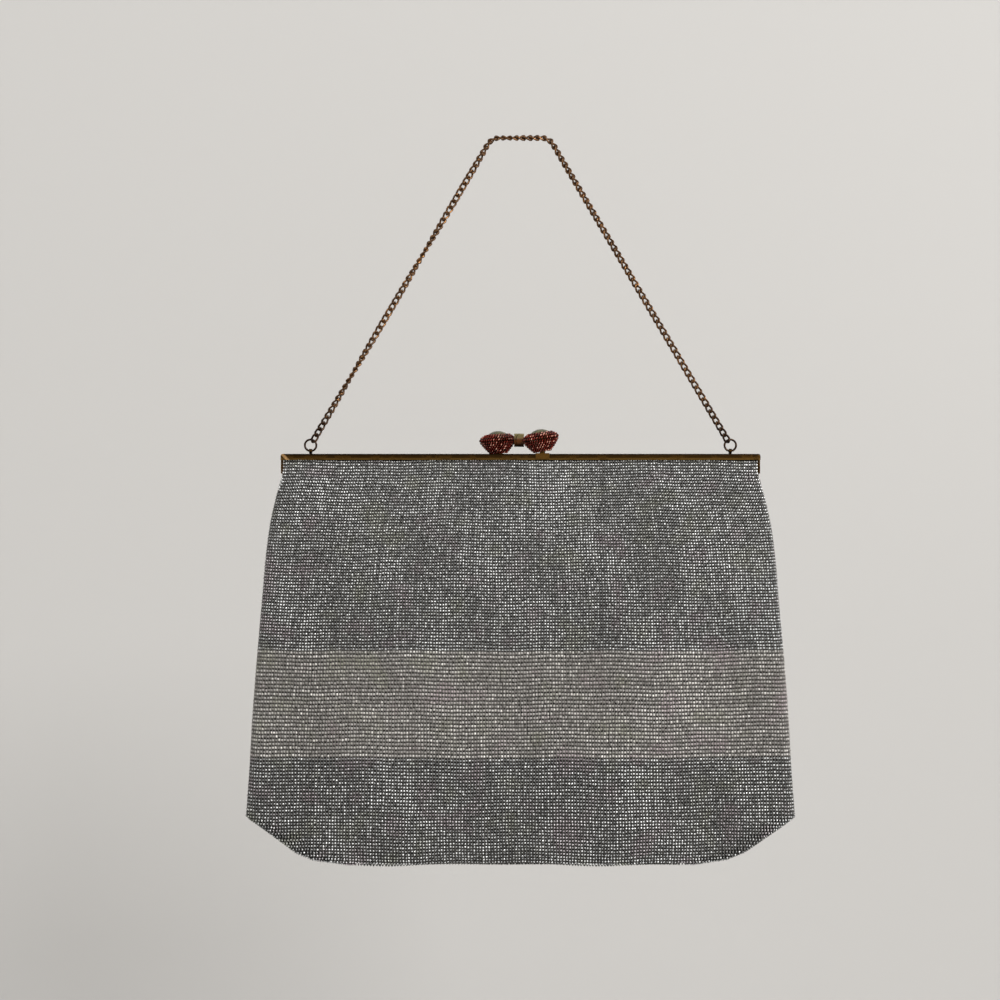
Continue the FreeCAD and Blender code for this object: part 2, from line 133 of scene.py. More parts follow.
def add_node(
    tree: bpy.types.NodeTree, kind: str, inputs: dict | None = None, out: str | int = 0, **settings
) -> Socket | None:
    """Adds one shader node.

    Args:
        tree: The node tree of a material or the world.
        kind: The node's type, without its ShaderNode prefix.
        inputs: Input name or number to a value, or to the output that feeds it.
        out: The name or number of the output that is wanted.
        settings: The node's own properties.

    Returns:
        The wanted output, or none from a node that ends the tree.
    """
    node = tree.nodes.new("ShaderNode" + kind)
    for name, value in settings.items():
        setattr(node, name, value)
    for key, value in (inputs or {}).items():
        if isinstance(value, Socket):
            tree.links.new(value, node.inputs[key])
        else:
            node.inputs[key].default_value = value
    return node.outputs[out] if node.outputs else None


def new_object(name: str, data: bpy.types.ID) -> Piece:
    """Puts a mesh, curve, lamp or camera into the scene.

    Args:
        name: The object's name.
        data: What it shows.

    Returns:
        The new object, at the origin.
    """
    made = bpy.data.objects.new(name, data)
    bpy.context.scene.collection.objects.link(made)
    return made


def from_bmesh(name: str, shape: bmesh.types.BMesh, smooth: bool) -> Piece:
    """Turns a finished bmesh into a piece.

    Args:
        name: The piece's name.
        shape: The bmesh, which is freed.
        smooth: Whether its faces shade as one round surface.

    Returns:
        The new object.
    """
    mesh = bpy.data.meshes.new(name)
    shape.to_mesh(mesh)
    shape.free()
    mesh.polygons.foreach_set("use_smooth", [smooth] * len(mesh.polygons))
    return new_object(name, mesh)


def mesh_of(curve: bpy.types.Curve) -> bpy.types.Mesh:
    """Turns a finished curve into a mesh of the same name.

    Args:
        curve: The curve, which is removed.

    Returns:
        The mesh.
    """
    holder = new_object(curve.name, curve)
    bpy.context.view_layer.update()
    mesh = bpy.data.meshes.new_from_object(holder)
    mesh.name = curve.name
    bpy.data.objects.remove(holder)
    bpy.data.curves.remove(curve)
    return mesh


@dataclass(frozen=True)
class Stamp:
    """One small shape that is set down many times as a single piece.

    Each copy has a square patch of the bake's map. Where the copies face outwards, the side that shows is
    spread over the patch and the side behind it lies in a corner. The skew is a direction that no copy faces.
    """

    corners: Array
    faces: Array
    even_spot: tuple[Pair, ...] = ((0.2, 0.2), (0.8, 0.2), (0.5, 0.8))
    hidden_spot: tuple[Pair, ...] = ((0.01, 0.01), (0.06, 0.01), (0.01, 0.06))
    spread: float = 0.3
    skew: Triple = (0.36, 0.48, 0.8)
    # How fast the painted highlight fades from each copy's outward side to painted shade at its rim
    painted_highlight_fall: float = 2.4

    @classmethod
    def taken_from(cls, shape: bmesh.types.BMesh) -> Stamp:
        """Reads a stamp from a bmesh, cut into triangles.

        Args:
            shape: The bmesh, which is freed.

        Returns:
            The stamp.
        """
        bmesh.ops.triangulate(shape, faces=shape.faces[:])
        shape.verts.index_update()
        corners = np.array([vertex.co[:] for vertex in shape.verts])
        faces = np.array([[vertex.index for vertex in face.verts] for face in shape.faces])
        shape.free()
        return cls(corners, faces)

    def set_down(
        self, name: str, at: Array, turns: Array, tones: Array, smooth: bool, outward: Array | None = None
    ) -> Piece:
        """Makes one piece of all the copies.

        Args:
            name: The piece's name.
            at: Where each copy's middle goes, in metres.
            turns: A 3 by 3 matrix for each copy, which also scales it.
            tones: A number for each copy that its finish reads.
            smooth: Whether each copy shades as a round surface.
            outward: The way that each copy faces, where its painted highlight is strongest, fading to painted
                shade at its rim, or none for an even tone.

        Returns:
            The new object, with a patch of the bake's map for each copy.
        """
        count, size = len(at), len(self.corners)
        turned = np.einsum("nij,vj->nvi", turns, self.corners)
        corners = at[:, None, :] + turned
        faces = self.faces[None] + size * np.arange(count)[:, None, None]
        mesh = bpy.data.meshes.new(name)
        mesh.from_pydata(corners.reshape(-1, 3), [], faces.reshape(-1, 3), shade_flat=not smooth)
        shade = np.repeat(tones[:, None], size, 1)
        spots = np.tile(self.even_spot, (count, len(self.faces), 1, 1))
        if outward is not None:
            across = np.cross(outward, self.skew)
            ways = (outward, across, np.cross(outward, across))
            rise, u, v = [np.einsum("nvi,ni->nv", turned, way) for way in ways]
            rise /= rise.max(1, keepdims=True)
            # Painted highlight and shade: the tone is strongest where a copy faces outwards and fades to
            # nothing at its rim
            shade = np.clip(shade * np.clip(rise, 0.0, 1.0) ** self.painted_highlight_fall, 0.0, 1.0)
            reach = self.spread * np.arccos(np.clip(rise, -1.0, 1.0)) / (np.pi / 2) / np.hypot(u, v)
            spots = 0.5 + np.stack([u * reach, v * reach], 2)[:, self.faces]
            spots[rise[:, self.faces].mean(2) < 0.0] = self.hidden_spot
        tone = mesh.attributes.new(TONE, "FLOAT", "POINT")
        tone.data.foreach_set("value", shade.astype(np.float32).ravel())
        side = math.ceil(math.sqrt(count))
        cell = np.stack([np.arange(count) % side, np.arange(count) // side], 1)[:, None, None]
        layer = mesh.uv_layers.new(name=BAKE_UV)
        layer.data.foreach_set("uv", ((cell + np.clip(spots, 0.0, 1.0)) / side).astype(np.float32).ravel())
        return new_object(name, mesh)


def chance_turns(count: int, draw: Draws) -> Array:
    """Turns in any direction, as 3 by 3 matrices.

    Args:
        count: How many.
        draw: The random draws.

    Returns:
        An array of matrices.
    """
    spin = draw.normal(0.0, 1.0, (count, 4))
    w, x, y, z = (spin / np.linalg.norm(spin, axis=1, keepdims=True)).T
    return np.stack([
        np.stack([1 - 2 * (y * y + z * z), 2 * (x * y - z * w), 2 * (x * z + y * w)], 1),
        np.stack([2 * (x * y + z * w), 1 - 2 * (x * x + z * z), 2 * (y * z - x * w)], 1),
        np.stack([2 * (x * z - y * w), 2 * (y * z + x * w), 1 - 2 * (x * x + y * y)], 1),
    ], 1)


# Finishes


@dataclass(frozen=True)
class Finish:
    """A surface finish, named for its material, with the record's slot that it belongs to."""

    name: str
    slot: str

    def sockets(self, add: AddNode) -> Sockets:
        """Builds the finish's pattern with the given call, and returns the surface's sockets by name."""
        raise NotImplementedError

    def material(self) -> bpy.types.Material:
        """Makes the finish's material the first time that it is asked for.

        Returns:
            The material.
        """
        made = bpy.data.materials.get(self.name)
        if made is None:
            made = bpy.data.materials.new(self.name)
            add = partial(add_node, fresh_tree(made))
            add("OutputMaterial", {"Surface": add("BsdfPrincipled", self.sockets(add))})
        return made

    def dress(self, piece: Piece) -> None:
        """Gives a new piece this finish.

        Args:
            piece: The piece.
        """
        piece.data.materials.clear()
        piece.data.materials.append(self.material())

    def dress_node(self, node: Piece) -> None:
        """Gives a carried-over node this finish."""
        for place in node.material_slots:
            place.material = self.material()


@dataclass(frozen=True)
class LinedGlass(Finish):
    """Glass beads with a silvered hole: grey bodies, a painted highlight, and painted shade at the rim."""

    dark: str
    light: str
    soil: str
    metallic: float
    rough_dark: float
    rough_light: float
    patch_mm: float = 26.0
    soil_share: float = 0.35
    blush: str = "a58f98"
    moss: str = "93957c"
    cast_mm: float = 13.0
    cast_share: float = 0.4

    def sockets(self, add: AddNode) -> Sockets:
        """Mixes the bead's tone, with its painted highlight and shade, with dulled patches and a faint rose or
        moss cast here and there.

        Args:
            add: Adds a node.

        Returns:
            The surface's sockets.
        """
        tone = add("Attribute", out="Fac", attribute_name=TONE)
        place = add("TexCoord", out="Object")
        patch = add("TexNoise", {"Vector": place, "Scale": per_metre(self.patch_mm), "Detail": 3.0}, "Fac")
        share = add("MapRange", {"Value": patch, "From Min": 0.4, "From Max": 0.7, "To Max": self.soil_share})
        drift = add("TexNoise", {"Vector": place, "Scale": per_metre(self.cast_mm), "Detail": 1.0}, "Fac")
        # The tone runs from painted shade in the dark colour to a painted highlight in the light one
        colour = add("Mix", {0: tone, 6: linear(self.dark), 7: linear(self.light)}, 2, data_type="RGBA")
        colour = add("Mix", {0: share, 6: colour, 7: linear(self.soil)}, 2, data_type="RGBA")
        for code, low, high in ((self.blush, 0.58, 0.72), (self.moss, 0.42, 0.28)):
            limits = {"From Min": low, "From Max": high, "To Max": self.cast_share}
            cast = add("MapRange", {"Value": drift, **limits})
            colour = add("Mix", {0: cast, 6: colour, 7: linear(code)}, 2, data_type="RGBA")
        rough = add("MapRange", {"Value": tone, "To Min": self.rough_dark, "To Max": self.rough_light})
        return {"Base Color": colour, "Roughness": rough, "Metallic": self.metallic}


@dataclass(frozen=True)
class WovenGround(Finish):
    """The cotton ground that the beads are sewn to: dull, dark and soft, with its threads just showing."""

    dark: str
    light: str
    thread_mm: float = 0.5

    def sockets(self, add: AddNode) -> Sockets:
        """Crosses two sets of threads and lifts them with a bump.

        Args:
            add: Adds a node.

        Returns:
            The surface's sockets.
        """
        weave = {"Vector": add("UVMap", uv_map=CLOTH_UV), "Scale": BAND_SCALE / self.thread_mm}
        warp, weft = [add("TexWave", weave, "Fac", bands_direction=way) for way in ("X", "Y")]
        threads = add("Math", {0: warp, 1: weft}, operation="MAXIMUM")
        colour = add("Mix", {0: threads, 6: linear(self.dark), 7: linear(self.light)}, 2, data_type="RGBA")
        bump = add("Bump", {"Height": threads, "Strength": 0.4, "Distance": 0.1 * MM})
        return {"Base Color": colour, "Roughness": 0.9, "Normal": bump, "Sheen Weight": 0.15}


@dataclass(frozen=True)
class WarpCotton(Finish):
    """Waxed grey cotton: dull and soft, in lighter and darker lengths, and paler between the clear beads."""

    dark: str
    light: str
    pale: str
    length_mm: float = 1.6

    def sockets(self, add: AddNode) -> Sockets:
        """Clouds the thread's grey along its length and pales it by its tone.

        Args:
            add: Adds a node.

        Returns:
            The surface's sockets.
        """
        place = add("TexCoord", out="Object")
        cloud = add("TexNoise", {"Vector": place, "Scale": per_metre(self.length_mm), "Detail": 2.0}, "Fac")
        share = add("MapRange", {"Value": cloud, "From Min": 0.35, "From Max": 0.65})
        colour = add("Mix", {0: share, 6: linear(self.dark), 7: linear(self.light)}, 2, data_type="RGBA")
        tone = add("Attribute", out="Fac", attribute_name=TONE)
        colour = add("Mix", {0: tone, 6: colour, 7: linear(self.pale)}, 2, data_type="RGBA")
        return {"Base Color": colour, "Roughness": 0.75, "Sheen Weight": 0.1}


@dataclass(frozen=True)
class Satin(Finish):
    """Woven satin: a smooth face of long floats, with a soft shine along them and a faint twill line."""

    shade: str
    bright: str
    thread_mm: float = 0.6
    cloud_mm: float = 22.0

    def sockets(self, add: AddNode) -> Sockets:
        """Clouds the colour slightly and rules the fine twill, drawn coarser than thread so that it shows.

        Args:
            add: Adds a node.

        Returns:
            The surface's sockets.
        """
        place = add("UVMap", uv_map=CLOTH_UV)
        lines = {"Vector": place, "Scale": BAND_SCALE / self.thread_mm, "Distortion": 0.4}
        twill = add("TexWave", lines, "Fac", bands_direction="DIAGONAL")
        cloud = add("TexNoise", {"Vector": place, "Scale": 1.0 / self.cloud_mm, "Detail": 4.0}, "Fac")
        colour = add("Mix", {0: cloud, 6: linear(self.shade), 7: linear(self.bright)}, 2, data_type="RGBA")
        rough = add("MapRange", {"Value": twill, "To Min": 0.34, "To Max": 0.5})
        bump = add("Bump", {"Height": twill, "Strength": 0.15, "Distance": 0.05 * MM})
        return {"Base Color": colour, "Roughness": rough, "Normal": bump, "Sheen Weight": 0.3}


@dataclass(frozen=True)
class Mark:
    """A band of changed colour on a metal, by its distance along one direction, mostly painted shade or painted
    highlight.
    """

    along: Triple
    middle: float
    edge: float
    core: float
    colour: str
    share: float = 0.85


@dataclass(frozen=True)
class AgedMetal(Finish):
    """Thinly plated brass, handled for years: warm metal, brown tarnish in clouds and hairline scratches."""

    bright: str
    tarnish: str
    cloud_mm: float
    scratch_mm: float = 0.3
    tarnish_share: float = 0.6
    rough_bright: float = 0.22
    rough_tarnish: float = 0.42
    metallic: float = 1.0
    marks: tuple[Mark, ...] = ()

    def sockets(self, add: AddNode) -> Sockets:
        """Lays tarnish over the plating in clouds, roughens the metal with it, and lays the marks over both.

        Args:
            add: Adds a node.

        Returns:
            The surface's sockets.
        """
        place = add("TexCoord", out="Object")
        grain = {"Scale": per_metre(self.cloud_mm), "Detail": 5.0, "Roughness": 0.6}
        cloud = add("TexNoise", {"Vector": place, **grain}, "Fac")
        drawn_out = add("Mapping", {"Vector": place, "Scale": (0.06, 1.0, 1.0)})
        hairline = {"Vector": drawn_out, "Scale": per_metre(self.scratch_mm), "Detail": 2.0}
        scratch = add("TexNoise", hairline, "Fac")
        shift = self.tarnish_share * 0.4
        dull = add("MapRange", {"Value": cloud, "From Min": 0.62 - shift, "From Max": 0.72 - shift})
        worn = add("MapRange", {"Value": scratch, "From Min": 0.62, "From Max": 0.75})
        left = add("Math", {0: dull, 1: worn}, operation="SUBTRACT", use_clamp=True)
        colour = add("Mix", {0: left, 6: linear(self.bright), 7: linear(self.tarnish)}, 2, data_type="RGBA")
        rough = add("MapRange", {"Value": left, "To Min": self.rough_bright, "To Max": self.rough_tarnish})
        bump = add("Bump", {"Height": scratch, "Strength": 0.12, "Distance": 0.05 * MM})
        for mark in self.marks:
            along = add("VectorMath", {0: place, 1: mark.along}, "Value", operation="DOT_PRODUCT")
            off = add("Math", {0: along, 1: mark.middle * MM}, operation="SUBTRACT")
            away = add("Math", {0: off}, operation="ABSOLUTE")
            limits = {"From Min": mark.edge * MM, "From Max": mark.core * MM, "To Max": mark.share}
            share = add("MapRange", {"Value": away, **limits})
            colour = add("Mix", {0: share, 6: colour, 7: linear(mark.colour)}, 2, data_type="RGBA")
        return {"Base Color": colour, "Roughness": rough, "Metallic": self.metallic, "Normal": bump}


@dataclass(frozen=True)
class PressedGlass(Finish):
    """Moulded coloured glass: deep colour, a sharp glint from its facets, and a painted pale gleam on a few
    beads.
    """

    dark: str
    light: str
    gleam: str
    deep: float = 0.6

    def sockets(self, add: AddNode) -> Sockets:
        """Tones each bead, from dark depths that are partly painted shade to a painted gleam, and polishes it.

        Args:
            add: Adds a node.

        Returns:
            The surface's sockets.
        """
        tone = add("Attribute", out="Fac", attribute_name=TONE)
        colour = linear(self.dark)
        for low, high, over in ((0.0, self.deep, self.light), (self.deep, 1.0, self.gleam)):
            share = add("MapRange", {"Value": tone, "From Min": low, "From Max": high})
            colour = add("Mix", {0: share, 6: colour, 7: linear(over)}, 2, data_type="RGBA")
        return {"Base Color": colour, "Roughness": 0.2, "IOR": 1.52, "Specular Tint": linear(self.gleam)}


@dataclass(frozen=True)
class CabochonGlass(Finish):
    """A polished glass dome with cloudy olive depths, seen under a clear skin."""

    dark: str
    light: str
    cloud_mm: float = 2.4

    def sockets(self, add: AddNode) -> Sockets:
        """Clouds the glass and polishes it.

        Args:
            add: Adds a node.

        Returns:
            The surface's sockets.
        """
        depths = {"Scale": per_metre(self.cloud_mm), "Detail": 3.0, "Distortion": 0.8}
        cloud = add("TexNoise", {"Vector": add("TexCoord", out="Object"), **depths}, "Fac")
        share = add("MapRange", {"Value": cloud, "From Min": 0.35, "From Max": 0.65})
        colour = add("Mix", {0: share, 6: linear(self.dark), 7: linear(self.light)}, 2, data_type="RGBA")
        return {"Base Color": colour, "Roughness": 0.2, "IOR": 1.4}


@dataclass(frozen=True)
class PaperCord(Finish):
    """Twisted kraft paper: dry, fibrous and straw coloured, with a slanting lay."""

    dark: str
    light: str
    lay_mm: float = 1.4

    def sockets(self, add: AddNode) -> Sockets:
        """Rules the slanting lay of the twist and lifts it with a bump.

        Args:
            add: Adds a node.

        Returns:
            The surface's sockets.
        """
        twist = {"Scale": BAND_SCALE * per_metre(self.lay_mm), "Distortion": 1.0}
        place = add("TexCoord", out="Object")
        lay = add("TexWave", {"Vector": place, **twist}, "Fac", bands_direction="DIAGONAL")
        colour = add("Mix", {0: lay, 6: linear(self.dark), 7: linear(self.light)}, 2, data_type="RGBA")
        bump = add("Bump", {"Height": lay, "Strength": 0.5, "Distance": 0.1 * MM})
        return {"Base Color": colour, "Roughness": 0.85, "Normal": bump}


# Each bead finish's dark colour is the painted shade at its rims, and its light colour the painted highlight
CUT_BEADS = LinedGlass(
    "silver_lined_glass", "beaded_cloth", "242525", "fdfefd", "6a6a67",
    metallic=0.3, rough_dark=0.24, rough_light=0.12,
)
BAND_BEADS = LinedGlass(
    "satin_glass", "beaded_cloth", "4a4743", "f8f4ee", "827d76",
    metallic=0.2, rough_dark=0.32, rough_light=0.22,
)
WARP = WarpCotton("waxed_grey_cotton", "beaded_cloth", "3a3835", "5e5b57", "736f6a")
GROUND = WovenGround("dark_cotton_ground", "beaded_cloth", "131211", "22201e")
LINING_SATIN = Satin("ivory_satin", "satin", "b9b0a0", "d4ccbe")
GILT = AgedMetal("aged_gilt_brass", "gilt_brass", "775528", "38260f", cloud_mm=6.0, scratch_mm=0.35)
PAD_GILT = AgedMetal(
    "pressed_gilt_brass", "gilt_brass", "60330c", "3c1f08", cloud_mm=4.0, tarnish_share=0.4,
    rough_bright=0.34, rough_tarnish=0.44, metallic=0.55,
)
CHAIN_METAL = AgedMetal(
    "copper_brown_chain", "chain_metal", "966a40", "523923", cloud_mm=1.6, rough_tarnish=0.4, metallic=0.75,
)
# The garnets' dark colour is partly painted shade at each bead's rim, and the pale gleam a painted highlight
GARNET = PressedGlass("garnet_pressed_glass", "garnet_glass", "150302", "7c1f17", "f3c6ae")
OLIVE = CabochonGlass("olive_cabochon_glass", "olive_glass", "2c2b18", "5c5838")
KRAFT = PaperCord("twisted_kraft_paper", "paper_cord", "8a754f", "b39b6d")


# The bag's form


@dataclass(frozen=True)
class BagForm:
    """A flat bag's surface, through sections of two flat arcs and two side arcs.

    Each row is a depth, half width, half thickness and side radius. The frame's top, here and in other
    classes, is a height in metres.
    """

    rows: tuple[tuple[float, float, float, float], ...]
    corner_depth: float
    top: float
    slit_depth: float
    slit_y: float

    def sizes(self, depth: Array, inset: float) -> Array:
        """The section's half width, half thickness and side radius.

        Args:
            depth: The depths.
            inset: How far inside the surface.

        Returns:
            Three rows of sizes: smooth down to the bottom corners, and straight below them.
        """
        table = np.array(self.rows)
        smooth = table[table[:, 0] <= self.corner_depth]
        slope = np.gradient(smooth[:, 1:], smooth[:, 0], axis=0)
        step = np.clip(np.searchsorted(smooth[:, 0], depth) - 1, 0, len(smooth) - 2)
        span = (smooth[step + 1, 0] - smooth[step, 0])[:, None]
        t = np.clip((depth - smooth[step, 0])[:, None] / span, 0, 1)
        low, high = smooth[step, 1:], smooth[step + 1, 1:]
        ease = t * t * (3 - 2 * t)
        upper = (
            low + (high - low) * ease
            + span * slope[step] * t * (1 - t) ** 2 - span * slope[step + 1] * t * t * (1 - t)
        )
        lower = np.stack([np.interp(depth, table[:, 0], table[:, n]) for n in (1, 2, 3)], 1)
        return np.where((depth > self.corner_depth)[:, None], lower, upper).T - inset

    def arcs(self, depth: Array, inset: float) -> tuple[Array, ...]:
        """The arcs of the section at each depth.

        Args:
            depth: The depths.
            inset: How far inside the surface.

        Returns:
            Half width, half thickness, the radii of the side arc and the flat arc, and their join's angle.
        """
        width, thick, small = self.sizes(depth, inset)
        flat = ((width - small) ** 2 + thick ** 2 - small ** 2) / (2 * (thick - small))
        return width, thick, small, flat, np.arctan2(width - small, flat - thick)

    def seam_depth(self, inset: float) -> float:
        """The length down to the bottom seam, with the stretch that runs under the bag added to its depth."""
        depth, _, thick, _ = self.rows[-1]
        return depth + thick - 2 * inset

    def half_girth(self, depth: Array, inset: float) -> Array:
        """The length from the middle of a face round to the side seam."""
        _, _, small, flat, join = self.arcs(depth, inset)
        return flat * join + small * (np.pi / 2 - join)

    def surface(self, girth: Array, depth: Array, inset: float, side: Side) -> tuple[Array, Array]:
        """Places on one face, which is flat beside the frame's legs and wraps round to the seam below them.

        Args:
            girth: Lengths from the middle of the face, along the section.
            depth: The depths, which go on under the bottom to the seam.
            inset: How far inside the surface.
            side: The face.

        Returns:
            The points in metres and their outward directions.
        """
        width, thick, small, flat, join = self.arcs(depth, inset)
        run = np.abs(girth)
        on_flat = run <= flat * join
        angle = np.where(on_flat, run / flat, join + (run - flat * join) / small)
        angle = np.minimum(angle, np.pi / 2)
        x = np.where(on_flat, flat * np.sin(angle), width - small + small * np.sin(angle))
        y = np.where(on_flat, flat * np.cos(angle) - (flat - thick), small * np.cos(angle))
        slit_angle = np.arccos(np.clip(self.slit_y / small, -1, 1))
        beside_leg = (depth < self.slit_depth) & ~on_flat & (angle > slit_angle)
        run_out = width - small + small * (np.sin(slit_angle) + angle - slit_angle)
        x = np.where(beside_leg, np.minimum(run_out, width), x)
        y = np.where(beside_leg, self.slit_y, y)
        angle = np.where(beside_leg, 0.0, angle)
        turn = np.sign(girth)
        outward = np.stack([turn * np.sin(angle), side.value * np.cos(angle), np.zeros_like(angle)], 1)
        bottom = self.rows[-1][0] - inset
        under = np.maximum(depth - bottom, 0.0)
        y = y * np.clip(1 - under / thick, 0.0, 1.0)
        outward[under > 0] = (0.0, 0.0, -1.0)
        points = np.stack([turn * x, side.value * y, -np.minimum(depth, bottom)], 1) * MM
        points[:, 2] += self.top
        return points, outward

    def inside_slit(self, points: Array, depth: Array, inset: float) -> Array:
        """Which places haven't run out past the side of the bag beside the frame's legs."""
        return (np.abs(points[:, 0]) < self.sizes(depth, inset)[0] * MM) | (depth >= self.slit_depth)


BEADED_ROWS = (
    (1.3, 103.3, 3.65, 3.5),
    (3.2, 103.3, 3.65, 3.5),
    (8.0, 103.5, 4.1, 3.6),
    (18.0, 106.4, 5.1, 3.9),
    (30.0, 109.1, 6.5, 4.5),
    (44.0, 111.0, 7.9, 5.0),
    (65.0, 112.8, 9.5, 5.5),
    (90.0, 115.0, 10.8, 5.9),
    (115.0, 116.9, 11.3, 6.1),
    (138.0, 118.2, 10.9, 5.9),
    (157.7, 119.7, 9.2, 5.2),
    (173.5, 98.0, 5.2, 3.2),
    (176.6, 90.5, 3.8, 2.6),
    (178.9, 72.0, 2.0, 1.6),
)
LINING_ROWS = (
    (1.3, 97.0, 2.1, 2.0),
    (3.2, 97.0, 2.1, 2.0),
    (8.0, 97.2, 2.5, 2.1),
    (30.0, 98.5, 4.9, 2.6),
    (60.0, 105.0, 7.6, 3.4),
    (90.0, 109.0, 9.2, 4.0),
    (115.0, 110.5, 9.6, 4.2),
    (138.0, 111.0, 9.2, 4.0),
    (155.0, 111.0, 7.6, 3.4),
    (172.0, 92.0, 3.0, 2.0),
)


@dataclass(frozen=True)
class FoldLine:
    """The stretch of the front that folds when the frame opens, by its two depths."""

    frame_top: float
    top: float = 28.0
    bottom: float = 44.0

    def hang(self, piece: Piece, side: Side) -> None:
        """Makes a piece of cloth go with its side: the rear goes with the bag, and the front keeps its place
        fixed in its mesh.

        Args:
            piece: The cloth or beadwork.
            side: The face that it is on.
        """
        if side is Side.REAR:
            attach(piece, "bag")
            return
        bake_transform(piece)


# Cloth panels


@dataclass
class ClothPanel:
    """A panel of cloth on one face of the bag, with a slit beside the frame's legs."""

    form: BagForm
    side: Side
    inset: float
    top: float
    bottom: float
    across: int = 120
    down: int = 120
    half_width: float = math.inf
    edge_room: float = 0.02
    cut_steps: int = 400
    fold_width: float = 8.5
    fold_sway: float = 0.8
    sway_length: float = 24.0
    same_place: float = 1e-6

    def half(self, depth: Array) -> Array:
        """Half the panel's width along the cloth at each depth."""
        return np.minimum(self.form.half_girth(depth, self.inset) - self.edge_room, self.half_width)

    def declare(self) -> None:
        """Works out the cloth's half width down its length, and keeps nothing.
        """
        half = self.half(np.linspace(self.top, self.bottom, self.cut_steps))

    def build(self, name: str, thickness: float, ripple: float) -> Piece:
        """Lays a grid on the form and gives it its thickness.

        Args:
            name: The piece's name.
            thickness: The cloth's thickness, taken inwards.
            ripple: How far its soft folds stand inwards.

        Returns:
            The new object, with a map of its cloth in millimetres.
        """
        shape = bmesh.new()
        bmesh.ops.create_grid(shape, x_segments=self.across, y_segments=self.down, size=1.0)
        layer = shape.loops.layers.uv.new(CLOTH_UV)
        share = np.array([vertex.co[:2] for vertex in shape.verts])
        depth = self.top + (self.bottom - self.top) * (1 - share[:, 1]) / 2
        girth = share[:, 0] * self.half(depth)
        swell = np.sin(np.clip((depth - self.top) / (self.bottom - self.top), 0, 1) * np.pi)
        wave = 0.5 + 0.5 * np.sin(girth / self.fold_width + self.fold_sway * np.sin(depth / self.sway_length))
        points, outward = self.form.surface(girth, depth, self.inset, self.side)
        points -= outward * (ripple * swell * wave)[:, None] * MM
        for vertex, point in zip(shape.verts, points):
            vertex.co = point
        shape.verts.index_update()
        for face in shape.faces:
            for loop in face.loops:
                number = loop.vert.index
                loop[layer].uv = (girth[number], -depth[number])
        bmesh.ops.dissolve_degenerate(shape, dist=self.same_place, edges=shape.edges[:])
        bmesh.ops.recalc_face_normals(shape, faces=shape.faces[:])
        facing = sum(face.normal.y * face.calc_area() for face in shape.faces)
        if facing * self.side.value < 0:
            bmesh.ops.reverse_faces(shape, faces=shape.faces[:])
        bmesh.ops.solidify(shape, geom=shape.faces[:], thickness=thickness * MM)
        return from_bmesh(name, shape, True)


@dataclass
class Lining:
    """The satin lining, with a slip pocket on the rear."""

    form: BagForm
    fold: FoldLine
    top: float = 1.5
    thickness: float = 0.4
    ripple: float = 0.7
    pocket_half_width: float = 55.0
    pocket_top: float = 62.0
    pocket_bottom: float = 128.0
    pocket_inset: float = 0.95
    pocket_ripple: float = 0.2
    pocket_grid: tuple[int, int] = (60, 40)

    def build(self) -> list[Piece]:
        """Makes the two linings and the pocket.

        Returns:
            The three pieces.
        """
        bottom = self.form.seam_depth(0.0) - SEAM_ROOM
        pieces = []
        for side, nodes in (
            (Side.FRONT, ("front_lining_upper", "front_lining_lower")),
            (Side.REAR, ("rear_lining",)),
        ):
            panel = ClothPanel(self.form, side, 0.0, self.top, bottom)
            piece = panel.build(f"{side.name.lower()}_satin_lining", self.thickness, self.ripple)
            LINING_SATIN.dress(piece)
            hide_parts(*nodes)
            self.fold.hang(piece, side)
            panel.declare()
            pieces.append(piece)
        return [*pieces, self.pocket()]

    def pocket(self) -> Piece:
        """Makes the flat pocket on the inner face of the rear lining.

        Returns:
            The pocket's piece.
        """
        inset = self.pocket_inset + self.ripple
        panel = ClothPanel(
            self.form, Side.REAR, inset, self.pocket_top, self.pocket_bottom,
            *self.pocket_grid, self.pocket_half_width,
        )
        piece = panel.build("slip_pocket_satin", self.thickness, self.pocket_ripple)
        LINING_SATIN.dress(piece)
        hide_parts("slip_pocket")
        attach(piece, "bag")
        panel.declare()
        return piece


# The beadwork


@dataclass(frozen=True)
class BeadZone:
    """A stretch of rows worked in one kind of bead, with the depths of its ends and its pitch at each."""

    name: str
    top: float
    bottom: float
    pitch_top: float
    pitch_bottom: float
    bead: Triple = (0.5, 0.56, 0.6)
    finish: LinedGlass = CUT_BEADS
    plain_tone: float = 0.6
    tone_spread: float = 0.4
    glints: float = 0.17
    column_streak: float = 0.16
    row_streak: float = 0.05


BAND = BeadZone(
    "band", 84.4, 131.8, 1.65, 1.65, (0.53, 0.77, 0.6), BAND_BEADS,
    plain_tone=0.58, tone_spread=0.42, glints=0.05, column_streak=0.06, row_streak=0.2,
)
LOWER = BeadZone(
    "lower", 131.8, 178.3, 1.49, 1.5, (0.5, 0.6, 0.6),
    plain_tone=0.56, glints=0.18, column_streak=0.14, row_streak=0.08,
)
ZONES = (BeadZone("yoke", 3.1, 44.0, 1.31, 1.33), BeadZone("upper", 44.0, 84.4, 1.33, 1.38), BAND, LOWER)


@dataclass(frozen=True)
class Wave:
    """A gentle wave over the cloth: its height, its lengths across and down the face, and where it starts."""

    height: float
    across: float
    down: float = math.inf
    start: float = 0.0


COLUMN_WAVES = (Wave(1.0, 31.0, 9.0),)
ROW_WAVES = (Wave(1.0, 13.0, 37.0), Wave(0.5, 4.7, -23.0))
SAG_WAVES = (Wave(1.0, 16.0, start=2.4), Wave(0.6, 7.0))
# Patches of painted sheen over the beads
PAINTED_SHEEN_WAVES = (Wave(1.0, 15.0, 31.0), Wave(1.0, 8.0, -12.0, 1.0))


def wave_height(waves: tuple[Wave, ...], girth: Array, depth: Array) -> Array:
    """The height of several waves together, at each place on a face."""
    return sum(w.height * np.sin(girth / w.across + depth / w.down + w.start) for w in waves)


